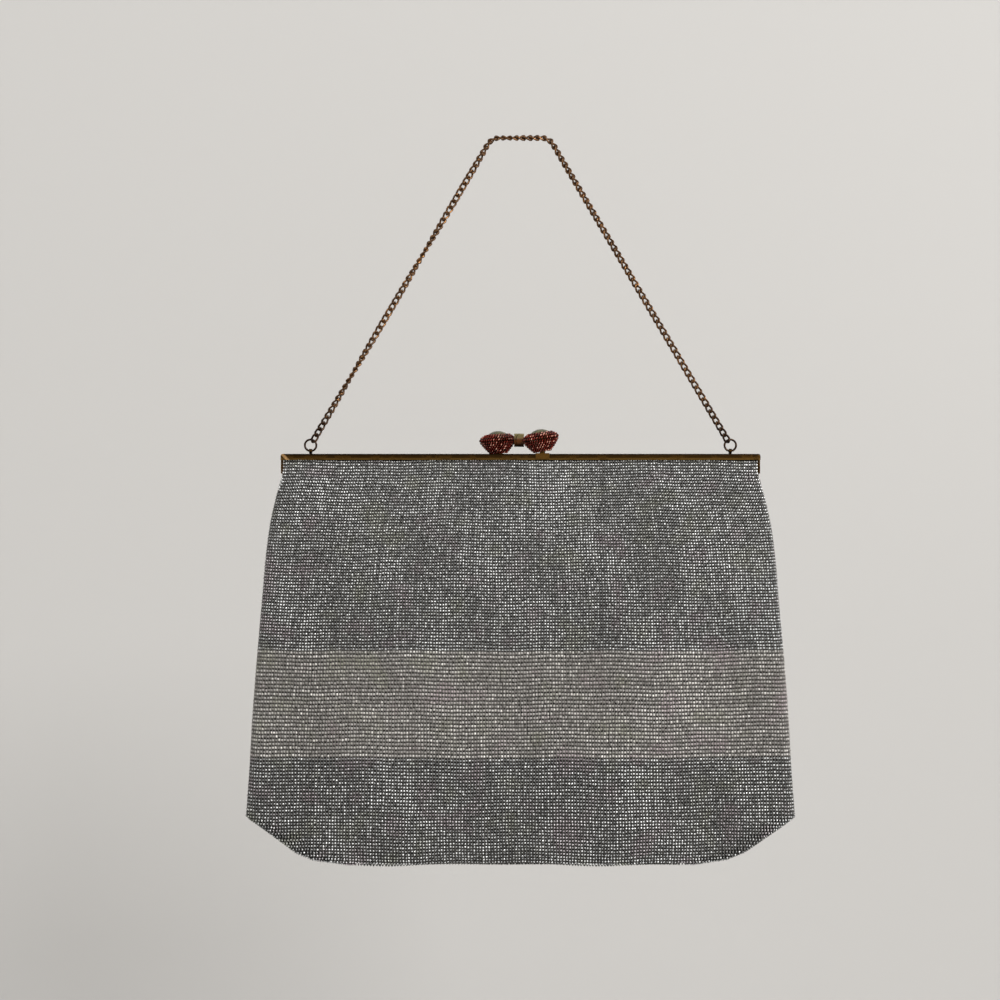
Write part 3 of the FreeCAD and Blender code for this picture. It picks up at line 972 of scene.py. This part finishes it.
@dataclass(frozen=True)
class LooseThread:
    """A place where a thread has slipped, by pairs of X and depth. The columns beside it stand apart."""

    places: tuple[Pair, ...]
    opening: float = 0.1
    reach: float = 2.0

    def shift(self, x: Array, depth: Array) -> Array:
        """How far beads are pushed aside.

        Args:
            x: Each bead's length from the middle of the face.
            depth: Each bead's depth.

        Returns:
            A shift for each bead.
        """
        line = np.array(self.places)
        off = x - np.interp(depth, line[:, 1], line[:, 0])
        inside = (depth >= line[0, 1]) & (depth <= line[-1, 1])
        return np.where(inside, np.sign(off) * self.opening * np.exp(-np.abs(off) / self.reach), 0.0)


LOOSE_THREADS = (
    LooseThread(((-8.6, 91.0), (-8.3, 98.0), (-8.1, 104.0))),
    LooseThread(((-0.4, 105.5), (0.3, 113.0), (2.8, 115.0), (3.4, 121.0), (7.5, 130.0))),
    LooseThread(((13.9, 107.0), (12.9, 111.0), (11.9, 115.0))),
    LooseThread(((40.5, 107.0), (40.9, 112.0), (37.6, 118.5), (37.8, 123.5), (39.6, 129.5))),
)


@dataclass
class Beadwork:
    """One face of the bag: rows of beads between warp threads, on a dark ground."""

    form: BagForm
    side: Side
    fold: FoldLine
    columns: int = 190
    bead_inset: float = 0.62
    bead_sizes: Pair = (0.93, 1.05)
    lean_step: float = 0.5
    ground_top: float = 1.6
    ground_inset: float = 1.0
    ground_thickness: float = 0.25
    thread_inset: float = 0.4
    thread_radius: float = 0.19
    thread_step: float = 2.6
    edge_columns: int = 8
    edge_room: float = 0.85
    edge_slack: float = 0.1
    seam_rows: int = 2
    seam_pitch: float = 1.15
    seam_gap: float = 0.6
    seam_steps: int = 300
    jitter: float = 0.065
    wander: float = 0.24
    sag: float = 0.45
    sag_from: float = 140.0
    sag_run: float = 40.0
    # The weight of the painted sheen, and how far across it takes to brighten towards the lit side
    painted_sheen: float = 0.1
    lit_width: float = 120.0
    streak_tones: int = 8
    streak_depth: float = 180.0
    glint_gain: float = 4.0
    glint_tones: Pair = (1.2, 2.2)

    def row_depths(self) -> list[tuple[float, BeadZone]]:
        """Spaces the rows along the cloth as it curves in at the bottom.

        Returns:
            Each row's depth and zone.
        """
        rows = []
        depth = ZONES[0].top
        for zone in ZONES:
            while depth < zone.bottom:
                rows.append((depth, zone))
                near = self.form.sizes(np.array([depth, depth + self.lean_step]), 0.0)[1]
                lean = (near[1] - near[0]) / self.lean_step
                share = (depth - zone.top) / (zone.bottom - zone.top)
                pitch = zone.pitch_top + (zone.pitch_bottom - zone.pitch_top) * share
                depth += pitch / math.hypot(1.0, lean)
        rows.append((self.form.seam_depth(self.bead_inset) - LOWER.bead[1], LOWER))
        return rows

    def build(self, seed: int) -> list[Piece]:
        """Makes the face's beadwork, its threads and its ground.

        Args:
            seed: Starts the random draws of this face.

        Returns:
            A piece for each zone, then the corner beads, the warp threads and the ground.
        """
        draw = np.random.default_rng(seed)
        ball = bmesh.new()
        bmesh.ops.create_icosphere(ball, subdivisions=1, radius=MM)
        bead = Stamp.taken_from(ball)
        rows = self.row_depths()
        face = self.side.name.lower()
        column_tone = draw.normal(0.0, 1.0, (self.columns, self.streak_tones))
        pieces = []
        for zone in ZONES:
            depths = np.array([depth for depth, owner in rows if owner is zone])
            depth, column = [a.ravel() for a in np.meshgrid(depths, np.arange(self.columns), indexing="ij")]
            row = np.repeat(np.arange(len(depths)), self.columns)
            girth, kept = self.columns_at(depth, column)
            at, outward = self.places(girth, depth, draw)
            kept &= self.form.inside_slit(at, depth, self.bead_inset)
            tones = self.tones(zone, girth, depth, column_tone[column], row, draw)
            turns = self.turns(zone, outward, draw)
            name = f"{face}_{zone.name}_beads"
            # Each bead's tone fades from a painted highlight on its outward side to painted shade at its rim
            piece = bead.set_down(name, at[kept], turns[kept], tones[kept], True, outward[kept])
            self.settle(piece, zone)
            pieces.append(piece)
        pieces.append(self.corner_seams(f"{face}_corner_beads", bead, draw))
        pieces.append(self.warp(f"{face}_warp_threads"))
        pieces.append(self.ground(f"{face}_bead_ground"))
        return pieces

    def settle(self, piece: Piece, zone: BeadZone) -> None:
        """Gives beads their finish, hides the nodes that they stand for, and attaches them to the bag, except
        the front's rows above the fold.

        Args:
            piece: The beads.
            zone: Their zone.
        """
        zone.finish.dress(piece)
        folds = zone.bottom <= self.fold.bottom
        if self.side is Side.REAR:
            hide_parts("rear_bead_panel")
        elif folds:
            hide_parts("front_panel_upper", "front_panel_fold")
        else:
            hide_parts("front_panel_lower")
        if folds:
            self.fold.hang(piece, self.side)
        else:
            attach(piece, "bag")

    def columns_at(self, depth: Array, column: Array) -> tuple[Array, Array]:
        """Where the columns run: even across the face, and drawn out to the seams at its sides.

        Args:
            depth: The depths.
            column: Column numbers, where a half lies between two columns.

        Returns:
            Lengths from the middle of the face, and which of them are still on the cloth.
        """
        above_corner = np.minimum(depth, self.form.corner_depth)
        pitch = 2 * self.form.half_girth(above_corner, self.bead_inset) / self.columns
        girth = (column - (self.columns - 1) / 2) * pitch
        edge = self.form.half_girth(depth, self.bead_inset)
        beside_seam = self.seam_gap + self.seam_rows * self.seam_pitch - 0.5 * pitch
        edge = np.where(depth > self.form.corner_depth, edge - beside_seam, edge)
        last = (np.floor(edge / pitch - self.edge_room) + 0.5) * pitch
        kept = np.abs(girth) <= last + self.edge_slack * pitch
        near_edge = np.clip(1 - (last - np.abs(girth)) / (self.edge_columns * pitch), 0, 1)
        girth = girth + np.sign(girth) * near_edge * (edge - 0.5 * pitch - last)
        girth = girth + self.wander * wave_height(COLUMN_WAVES, girth, depth)
        if self.side is Side.FRONT:
            for thread in LOOSE_THREADS:
                girth = girth + thread.shift(girth, depth)
        return girth, kept

    def places(self, girth: Array, depth: Array, draw: Draws) -> tuple[Array, Array]:
        """Where the beads sit: a little off their lines, with the bottom sagging unevenly.

        Args:
            girth: Each bead's length from the middle of the face.
            depth: Each bead's depth.
            draw: The random draws.

        Returns:
            The middles in metres and the outward directions.
        """
        off = draw.normal(0.0, self.jitter, (2, len(depth)))
        lower = depth + self.wander * wave_height(ROW_WAVES, girth, depth) + off[1]
        at, outward = self.form.surface(girth + off[0], lower, self.bead_inset, self.side)
        low = np.clip((depth - self.sag_from) / self.sag_run, 0.0, 1.0) ** 2
        at[:, 2] += self.sag * low * wave_height(SAG_WAVES, girth, depth) * MM
        return at, outward

    def corner_seams(self, name: str, bead: Stamp, draw: Draws) -> Piece:
        """Sets beads close along the two slanting seams at the bottom corners.

        Args:
            name: The piece's name.
            bead: One bead.
            draw: The random draws.

        Returns:
            The piece with the beads of both seams.
        """
        line = np.linspace(self.form.corner_depth, self.form.rows[-1][0], self.seam_steps)
        edge = self.form.half_girth(line, self.bead_inset) - self.seam_gap
        run = np.concatenate([[0.0], np.cumsum(np.hypot(np.diff(edge), np.diff(line)))])
        beads = []
        for number in range(self.seam_rows):
            even = np.arange(0.5 * (number + 1) * self.seam_pitch, run[-1], self.seam_pitch)
            across, down, lean = [np.interp(even, run, way) for way in (edge, line, np.gradient(edge, line))]
            across -= number * self.seam_pitch
            beads += [np.stack([hand * across, down, lean]) for hand in (-1, 1)]
        girth, depth, slope = np.concatenate(beads, 1)
        at, _ = self.places(girth, depth, draw)
        outward = np.stack([np.sign(girth), self.side.value * np.hypot(1.0, slope), slope], 1)
        outward /= np.linalg.norm(outward, axis=1, keepdims=True)
        tones = LOWER.plain_tone * np.exp(draw.normal(0.0, LOWER.tone_spread, len(girth)))
        # Each bead's tone fades from a painted highlight on its outward side to painted shade at its rim
        piece = bead.set_down(name, at, self.turns(LOWER, outward, draw), tones, True, outward)
        self.settle(piece, LOWER)
        return piece

    def tones(
        self, zone: BeadZone, girth: Array, depth: Array, column_tone: Array, row: Array, draw: Draws
    ) -> Array:
        """How bright each bead's painted highlight is: streaks along columns and rows, painted sheen, and
        painted glints where light would catch.

        Args:
            zone: The beads' zone.
            girth: Each bead's length from the middle of the face.
            depth: Each bead's depth.
            column_tone: The tones that each bead's column goes through on its way down.
            row: Each bead's row number.
            draw: The random draws.

        Returns:
            A tone for each bead, over one for a glint.
        """
        # Just short of the last tone, so that there is always one after it
        end = self.streak_tones - 1.001
        along = np.clip(depth / self.streak_depth, 0, 1) * end
        first = along.astype(int)
        part = along - first
        bead = np.arange(len(depth))
        streak = column_tone[bead, first] * (1 - part) + column_tone[bead, first + 1] * part
        line = draw.normal(0.0, 1.0, row.max() + 1)[row]
        # Painted sheen in patches where the cloth would catch the light, brighter towards the lit right side
        painted_sheen = wave_height(PAINTED_SHEEN_WAVES, girth, depth) + girth / self.lit_width
        streaks_and_sheen = zone.column_streak * streak + zone.row_streak * line + self.painted_sheen * painted_sheen
        tone = zone.plain_tone * np.exp(streaks_and_sheen + draw.normal(0.0, zone.tone_spread, len(depth)))
        # Painted glints: some beads take tones over one, standing in for highlights
        glint = draw.random(len(depth)) < zone.glints * np.exp(self.glint_gain * streaks_and_sheen)
        return np.where(glint, draw.uniform(*self.glint_tones, len(depth)), tone)

    def turns(self, zone: BeadZone, outward: Array, draw: Draws) -> Array:
        """How each bead lies: its chance turn, its size, and the way that its place faces.

        Args:
            zone: The beads' zone.
            outward: The way that each bead's place faces.
            draw: The random draws.

        Returns:
            A matrix for each bead.
        """
        chance = chance_turns(len(outward), draw)
        underneath = np.abs(outward[:, 2:]) > 0.9
        across = np.where(underneath, [[1.0, 0.0, 0.0]], np.cross([UP], outward))
        facing = np.stack([across, np.cross(outward, across), outward], 2)
        size = np.array(zone.bead) * draw.uniform(*self.bead_sizes, (len(outward), 1))
        return np.einsum("nij,nj,njk->nik", facing, size, chance)

    def warp(self, name: str) -> Piece:
        """Runs threads down between the columns, each a slim tube, paler in the band.

        Args:
            name: The piece's name.

        Returns:
            The piece with all the threads.
        """
        curve = bpy.data.curves.new(name, "CURVE")
        curve.dimensions = "3D"
        curve.bevel_depth = self.thread_radius * MM
        curve.bevel_resolution = 0
        curve.use_fill_caps = True
        depth = np.arange(ZONES[0].top, self.form.seam_depth(self.thread_inset), self.thread_step)
        for gap in range(1, self.columns):
            girth, kept = self.columns_at(depth, np.full(len(depth), gap - 0.5))
            points, _ = self.form.surface(girth, depth, self.thread_inset, self.side)
            points = points[kept & self.form.inside_slit(points, depth, self.thread_inset)]
            if len(points) < 2:
                continue
            spline = curve.splines.new("POLY")
            spline.points.add(len(points) - 1)
            spline.points.foreach_set("co", np.column_stack([points, np.ones(len(points))]).ravel())
        mesh = mesh_of(curve)
        depths = (self.form.top - np.array([vertex.co.z for vertex in mesh.vertices])) / MM
        pale = (depths > BAND.top) & (depths < BAND.bottom)
        mesh.attributes.new(TONE, "FLOAT", "POINT").data.foreach_set("value", pale.astype(np.float32))
        piece = new_object(name, mesh)
        WARP.dress(piece)
        self.fold.hang(piece, self.side)
        return piece

    def ground(self, name: str) -> Piece:
        """Lays the dark cloth under the beads.

        Args:
            name: The piece's name.

        Returns:
            The cloth's piece.
        """
        seam = self.form.seam_depth(self.ground_inset) - SEAM_ROOM
        panel = ClothPanel(self.form, self.side, self.ground_inset, self.ground_top, seam)
        piece = panel.build(name, self.ground_thickness, 0.0)
        GROUND.dress(piece)
        self.fold.hang(piece, self.side)
        panel.declare()
        return piece


# The chain


@dataclass
class Chain:
    """A curb chain from ring to ring, level on top, its links twisted flat and the whole slowly turning."""

    frame_top: float
    eyelet_x: float = 91.3
    eyelet_rise: float = 1.3
    ring_radius: float = 2.5
    pull: float = math.radians(30.0)
    level_half: float = 12.5
    level_rise: float = 1.6
    straight_end: float = 19.2
    bend_reach: float = 8.1
    pitch: float = 3.05
    first_link: float = 1.1
    look_ahead: float = 0.4
    wire_radius: float = 0.5
    wire_sides: int = 7
    link_steps: int = 18
    link_length: float = 4.08
    link_width: float = 2.3
    link_twist: float = math.radians(60.0)
    end_round: float = 3.0
    same_place: float = 1e-5
    width: float = 3.3
    left_roll: float = math.radians(2.9)
    right_roll: float = math.radians(0.36)

    def route(self) -> list[Vector]:
        """The points that the chain hangs by: up from the left ring, along the level top, and down again.

        Returns:
            The points, in metres.
        """
        ring_x = self.ring_radius * math.sin(self.pull) - self.eyelet_x
        ring_rise = self.eyelet_rise + self.ring_radius * (1 + math.cos(self.pull))
        ring = Vector((ring_x, 0.0, self.frame_top / MM + ring_rise))
        corner = Vector((-self.level_half, 0.0, self.level_rise))
        down = (ring - corner).normalized()
        half = [
            ring, corner + down * self.straight_end, corner + down * self.bend_reach, corner,
            corner + Vector((self.bend_reach, 0.0, 0.0)),
        ]
        mirrored = [Vector((-point.x, point.y, point.z)) for point in reversed(half)]
        return [point * MM for point in half + mirrored]

    def line(self, points: list[Vector]) -> Array:
        """Draws the smooth line through the route.

        Args:
            points: The route's points.

        Returns:
            Points close together along the line, in metres.
        """
        curve = bpy.data.curves.new("chain_route", "CURVE")
        curve.dimensions = "3D"
        curve.resolution_u = 64
        spline = curve.splines.new("NURBS")
        spline.points.add(len(points) - 1)
        for place, point in zip(spline.points, points):
            place.co = (*point, 1.0)
        spline.order_u = 3
        spline.use_endpoint_u = True
        mesh = mesh_of(curve)
        line = np.array([vertex.co[:] for vertex in mesh.vertices])
        bpy.data.meshes.remove(mesh)
        return line

    def link(self) -> Stamp:
        """Makes one link along X: a ring drawn out to an oval and twisted from end to end.

        Returns:
            The link.
        """
        shape = bmesh.new()
        radius = self.link_width / 2
        around = Matrix.Translation((radius, 0.0, 0.0)) @ Matrix.Rotation(math.radians(90), 4, "X")
        made = bmesh.ops.create_circle(
            shape, segments=self.wire_sides, radius=self.wire_radius, matrix=around
        )
        edges = list({edge for vertex in made["verts"] for edge in vertex.link_edges})
        bmesh.ops.spin(
            shape, geom=edges, cent=(0, 0, 0), axis=UP, angle=2 * math.pi,
            steps=self.link_steps, use_merge=True,
        )
        bmesh.ops.remove_doubles(shape, verts=shape.verts[:], dist=self.same_place)
        bmesh.ops.recalc_face_normals(shape, faces=shape.faces[:])
        stretch = (self.link_length - self.link_width) / 2
        for vertex in shape.verts:
            x = vertex.co.x + stretch * math.tanh(self.end_round * vertex.co.x / radius)
            twist = self.link_twist * x / (self.link_length / 2)
            turned = Matrix.Rotation(twist, 3, "X") @ Vector((0.0, vertex.co.y, vertex.co.z))
            vertex.co = Vector((x, turned.y, turned.z)) * MM
        return Stamp.taken_from(shape)

    def build(self) -> Piece:
        """Returns:
            The chain's piece.
        """
        points = self.route()
        line = self.line(points)
        steps = np.linalg.norm(np.diff(line, axis=0), axis=1)
        travelled = np.concatenate([[0.0], np.cumsum(steps)])
        length = float(travelled[-1])
        spans = 2 * round((length / MM - 2 * self.first_link) / self.pitch / 2)
        along = np.linspace(self.first_link * MM, length - self.first_link * MM, spans + 1)
        near = self.look_ahead * MM
        at, ahead, behind = [
            np.stack([np.interp(along + off, travelled, line[:, n]) for n in range(3)], 1)
            for off in (0.0, near, -near)
        ]
        forward = ahead - behind
        forward /= np.linalg.norm(forward, axis=1, keepdims=True)
        back = np.tile([0.0, 1.0, 0.0], (len(at), 1))
        across = np.cross(back, forward)
        past_top = np.maximum(along - length / 2, 0.0)
        roll = ((self.left_roll * (along - past_top) + self.right_roll * past_top) / MM)[:, None]
        wide = across * np.cos(roll) + back * np.sin(roll)
        turns = np.stack([forward, wide, np.cross(forward, wide)], 2)
        piece = self.link().set_down("curb_chain", at, turns, np.zeros(len(at)), True)
        near_rings = Mark(UP, self.frame_top / MM, edge=34.0, core=10.0, colour="2c1d12")
        replace(CHAIN_METAL, marks=(near_rings,)).dress(piece)
        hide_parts("chain_links")
        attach(piece, "chain")
        return piece


# The knobs


@dataclass
class Knob:
    """The rows of garnet beads round one knob's cup.

    A span is a count of rows, and the shares of that part of the cup's side that they run between.
    """

    side: Side
    frame_top: float
    tilt: float
    rise: float
    pad_reach: float
    neck_reach: float
    post_x: float = 9.5
    post_y: float = 2.25
    neck_radius: float = 3.3
    rim_radius: float = 6.9
    rim_rise: float = 5.3
    rim_band: float = 0.6
    top_radius: float = 5.0
    top_rise: float = 7.5
    spans: tuple[tuple[int, float, float], ...] = ((6, 0.06, 0.92), (1, 0.5, 0.5), (3, 0.12, 0.92))
    bead_half: Triple = (0.4, 0.5, 0.72)
    bead_sides: int = 7
    bead_rings: int = 5
    bead_sizes: Pair = (0.94, 1.04)
    bead_pitch: float = 1.12
    bead_slant: float = math.radians(55)
    slant_spread: float = 0.1
    plain_tone: float = 0.42
    tone_spread: float = 0.18
    tone_limits: Pair = (0.05, 0.7)
    # The share and the tones of beads that take a painted gleam, standing in for highlights
    gleaming: float = 0.26
    gleam_tones: Pair = (0.8, 1.9)
    seat: float = 0.3
    swell: float = 0.5
    pad_radius: float = 2.9
    pad_neck_radius: float = 1.0
    pad_rise: float = 6.0
    seed: int = 71

    def rows(self) -> list[tuple[Vector, Vector]]:
        """Spaces the rows up the cup, swelling to a rounder form.

        Returns:
            Each row's radius and rise, and the way out from the cup there.
        """
        radii = (self.neck_radius, self.rim_radius, self.rim_radius, self.top_radius)
        rises = (0.0, self.rim_rise, self.rim_rise + self.rim_band, self.top_rise)
        corners = [Vector(corner) for corner in zip(radii, rises)]
        last_row = sum(count for count, _, _ in self.spans) - 1
        rows = []
        for low, high, (count, first, last) in zip(corners, corners[1:], self.spans):
            slope = (high - low).normalized()
            out = Vector((slope.y, -slope.x))
            for share in np.linspace(first, last, count):
                lift = self.seat + self.swell * math.sin(math.pi * len(rows) / last_row)
                rows.append((low.lerp(high, share) + out * lift, out))
        return rows

    def build(self) -> Piece:
        """Sets slanting beads round the cup, like the strands of a rope, clear of the catch pad.

        Returns:
            The piece with all the beads of this knob.
        """
        centres, facings, courses = [], [], []
        for number, (row, out) in enumerate(self.rows()):
            count = int(2 * math.pi * row.x / self.bead_pitch)
            turn = 2 * math.pi * (np.arange(count) + 0.5 * (number % 2)) / count
            ring = np.stack([np.cos(turn), np.sin(turn), np.zeros(count)], 1)
            centres.append(ring * row.x + [0.0, 0.0, row.y])
            facings.append(ring * out.x + [0.0, 0.0, out.y])
            courses.append(np.stack([-np.sin(turn), np.cos(turn), np.zeros(count)], 1))
        lean = np.array(Matrix.Rotation(math.radians(self.tilt), 3, "Y"))
        local, facing, course = [np.concatenate(rows) @ lean.T for rows in (centres, facings, courses)]
        at = local + np.array([-self.side.value * self.post_x, self.side.value * self.post_y, self.rise])
        off_axis = np.hypot(at[:, 1], at[:, 2] - self.pad_rise)
        clear = max(self.bead_half[:2])
        on_pad = (np.abs(at[:, 0]) < self.pad_reach + clear) & (off_axis < self.pad_radius + clear)
        on_neck = (np.abs(at[:, 0]) < self.neck_reach + clear) & (off_axis < self.pad_neck_radius + clear)
        kept = ~(on_pad | on_neck)
        at, facing, course = at[kept] * MM + [0.0, 0.0, self.frame_top], facing[kept], course[kept]
        draw = np.random.default_rng(self.seed + self.side.value)
        slant = draw.normal(self.bead_slant, self.slant_spread, (len(at), 1))
        strand = course * np.cos(slant) + np.cross(facing, course) * np.sin(slant)
        turns = np.stack([np.cross(facing, strand), facing, strand], 2) * np.array(self.bead_half)
        turns *= draw.uniform(*self.bead_sizes, (len(at), 1, 1))
        ball = bmesh.new()
        bmesh.ops.create_uvsphere(ball, u_segments=self.bead_sides, v_segments=self.bead_rings, radius=MM)
        tones = np.clip(draw.normal(self.plain_tone, self.tone_spread, len(at)), *self.tone_limits)
        # Painted gleams: these beads take the pale gleam colour
        gleams = draw.random(len(at)) < self.gleaming
        tones[gleams] = draw.uniform(*self.gleam_tones, gleams.sum())
        face = self.side.name.lower()
        # Each bead's tone fades from a painted highlight on its outward side to painted shade at its rim
        piece = Stamp.taken_from(ball).set_down(f"{face}_knob_garnets", at, turns, tones, False, facing)
        GARNET.dress(piece)
        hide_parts(f"{face}_knob_stones")
        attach(piece, "front_half" if self.side is Side.FRONT else "bag")
        return piece


def dress_metalwork(nodes: dict[str, Piece], frame_top: float) -> None:
    """Gives the carried-over nodes their finishes.

    Args:
        nodes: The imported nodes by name.
        frame_top: Height of the frame's top edge, in metres.
    """
    top = frame_top / MM
    bar = replace(GILT, name="grimed_gilt_brass", marks=(
        # Painted shade: a dark band along the frame's top edge
        Mark(UP, top, edge=1.3, core=0.45, colour="20150a"),
        # Painted highlight: a lighter band along the bar's lower edge
        Mark(UP, top - 2.4, edge=0.8, core=0.25, colour="7e602f", share=0.5),
        # Painted highlight: a bright slanting band at the frame's left corner
        Mark((1.0, 0.0, 1.0), top - 103.4, edge=1.1, core=0.4, colour="d9ac74"),
    ))
    pad = replace(PAD_GILT, marks=(
        # Painted highlight: paler along the pad's top
        Mark(UP, top + 9.2, edge=3.0, core=0.6, colour="857b50"),
        # Painted shade: darker along the pad's underside
        Mark(UP, top + 3.0, edge=2.4, core=0.4, colour="2e1706"),
    ))
    post = replace(GILT, name="rubbed_post_brass", bright="a8803c", tarnish="5f431d")
    ring = replace(CHAIN_METAL, name="blackened_brass", bright="5a4028", tarnish="241811")
    finishes = {
        "frame": bar, "hinge_rivet": GILT, "chain_eyelet": bar, "knob_cup": GILT, "knob_post": post,
        "catch_pad": pad, "knob_cabochon": OLIVE, "jump_ring": ring, "channel_cord": KRAFT,
    }
    for name, node in nodes.items():
        for ending, finish in finishes.items():
            if name.endswith(ending):
                finish.dress_node(node)
                LOG.info("%s: %s", name, finish.name)


# The studio


@dataclass
class Studio:
    """A pale wall and floor, a large soft lamp from the upper right, a weak one from the left, and a camera.

    The view's width at the object and its middle are in millimetres, and the rest in metres.
    """

    view_width: float = 435.1
    centre_x: float = -8.9
    centre_z: float = -155.9
    distance: float = 0.9
    wall_y: float = 0.55
    wall_half: float = 1.5
    floor_z: float = -0.66
    floor_half: float = 4.0
    lamp_size: float = 2.4

    def build(self) -> None:
        """Makes the stage, the light and the camera."""
        self.stage()
        self.lamps()
        self.world()
        self.camera()
        bpy.context.scene.view_settings.view_transform = "Standard"

    def stage(self) -> None:
        """Makes the floor, and a wall that shows only from the front."""
        upright = Matrix.Rotation(math.radians(90), 4, "X")
        for name, turn, at, size, colour in (
            ("floor", Matrix.Identity(4), (0.0, 0.0, self.floor_z), self.floor_half, "a6a4a1"),
            ("wall", upright, (0.0, self.wall_y, self.floor_z + self.wall_half), self.wall_half, "c2c0bd"),
        ):
            shape = bmesh.new()
            bmesh.ops.create_grid(shape, x_segments=1, y_segments=1, size=size)
            bmesh.ops.transform(shape, matrix=Matrix.Translation(at) @ turn, verts=shape.verts[:])
            piece = from_bmesh(name, shape, False)
            material = bpy.data.materials.new("pale_" + name)
            add = partial(add_node, fresh_tree(material))
            surface = add("BsdfDiffuse", {"Color": linear(colour)})
            if name == "wall":
                behind = add("NewGeometry", out="Backfacing")
                surface = add("MixShader", {0: behind, 1: surface, 2: add("BsdfTransparent")})
            add("OutputMaterial", {"Surface": surface})
            piece.data.materials.append(material)

    def lamps(self) -> None:
        """Hangs the key lamp and the fill."""
        aim = Vector((0.0, 0.0, self.centre_z * MM))
        for name, at, watts in (("key", (1.95, -2.63, 1.7), 182.0), ("fill", (-2.4, -2.2, 0.2), 40.0)):
            lamp = bpy.data.lights.new(name, "AREA")
            lamp.size = self.lamp_size
            lamp.energy = watts
            holder = new_object(name, lamp)
            holder.location = at
            holder.rotation_mode = "QUATERNION"
            holder.rotation_quaternion = (aim - Vector(at)).to_track_quat("-Z", "Y")

    def world(self) -> None:
        """Makes an even grey room, a little brighter overhead."""
        world = bpy.data.worlds.new("room")
        bpy.context.scene.world = world
        add = partial(add_node, fresh_tree(world))
        height = add("SeparateXYZ", {0: add("TexCoord", out="Generated")}, "Z")
        limits = {"From Min": -0.6, "From Max": 1.0, "To Min": 0.12, "To Max": 0.34}
        level = add("MapRange", {"Value": height, **limits})
        glow = add("Background", {"Color": linear("fbf8f2"), "Strength": level})
        add("OutputWorld", {"Surface": glow})

    def camera(self) -> None:
        """Sets up a level camera square to the bag, as far off as keeps its lines straight."""
        camera = bpy.data.cameras.new("camera")
        camera.sensor_width = 36.0
        camera.lens = camera.sensor_width * self.distance / (self.view_width * MM)
        holder = new_object("camera", camera)
        holder.location = (self.centre_x * MM, -self.distance, self.centre_z * MM)
        holder.rotation_euler = (math.radians(90), 0.0, 0.0)
        bpy.context.scene.camera = holder


def main() -> None:
    logging.basicConfig(level=logging.INFO, format="%(name)s %(message)s")
    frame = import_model()
    frame_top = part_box("rear_frame")[1].z
    Studio().build()
    pieces = [Chain(frame_top).build()]
    dress_metalwork(frame["nodes"], frame_top)
    pieces.append(Knob(Side.FRONT, frame_top, tilt=-9.0, rise=1.3, pad_reach=1.5, neck_reach=3.9).build())
    pieces.append(Knob(Side.REAR, frame_top, tilt=-4.0, rise=0.6, pad_reach=2.7, neck_reach=5.4).build())
    fold = FoldLine(frame_top)
    beaded = BagForm(BEADED_ROWS, corner_depth=157.7, top=frame_top, slit_depth=16.0, slit_y=2.5)
    lined = BagForm(LINING_ROWS, corner_depth=155.0, top=frame_top, slit_depth=6.0, slit_y=1.2)
    pieces += Beadwork(beaded, Side.FRONT, fold).build(seed=11)
    pieces += Beadwork(beaded, Side.REAR, fold).build(seed=12)
    pieces += Lining(lined, fold).build()
    for piece in pieces:
        LOG.info("%s: %d faces", piece.name, len(piece.data.polygons))


if __name__ == "__main__":
    main()
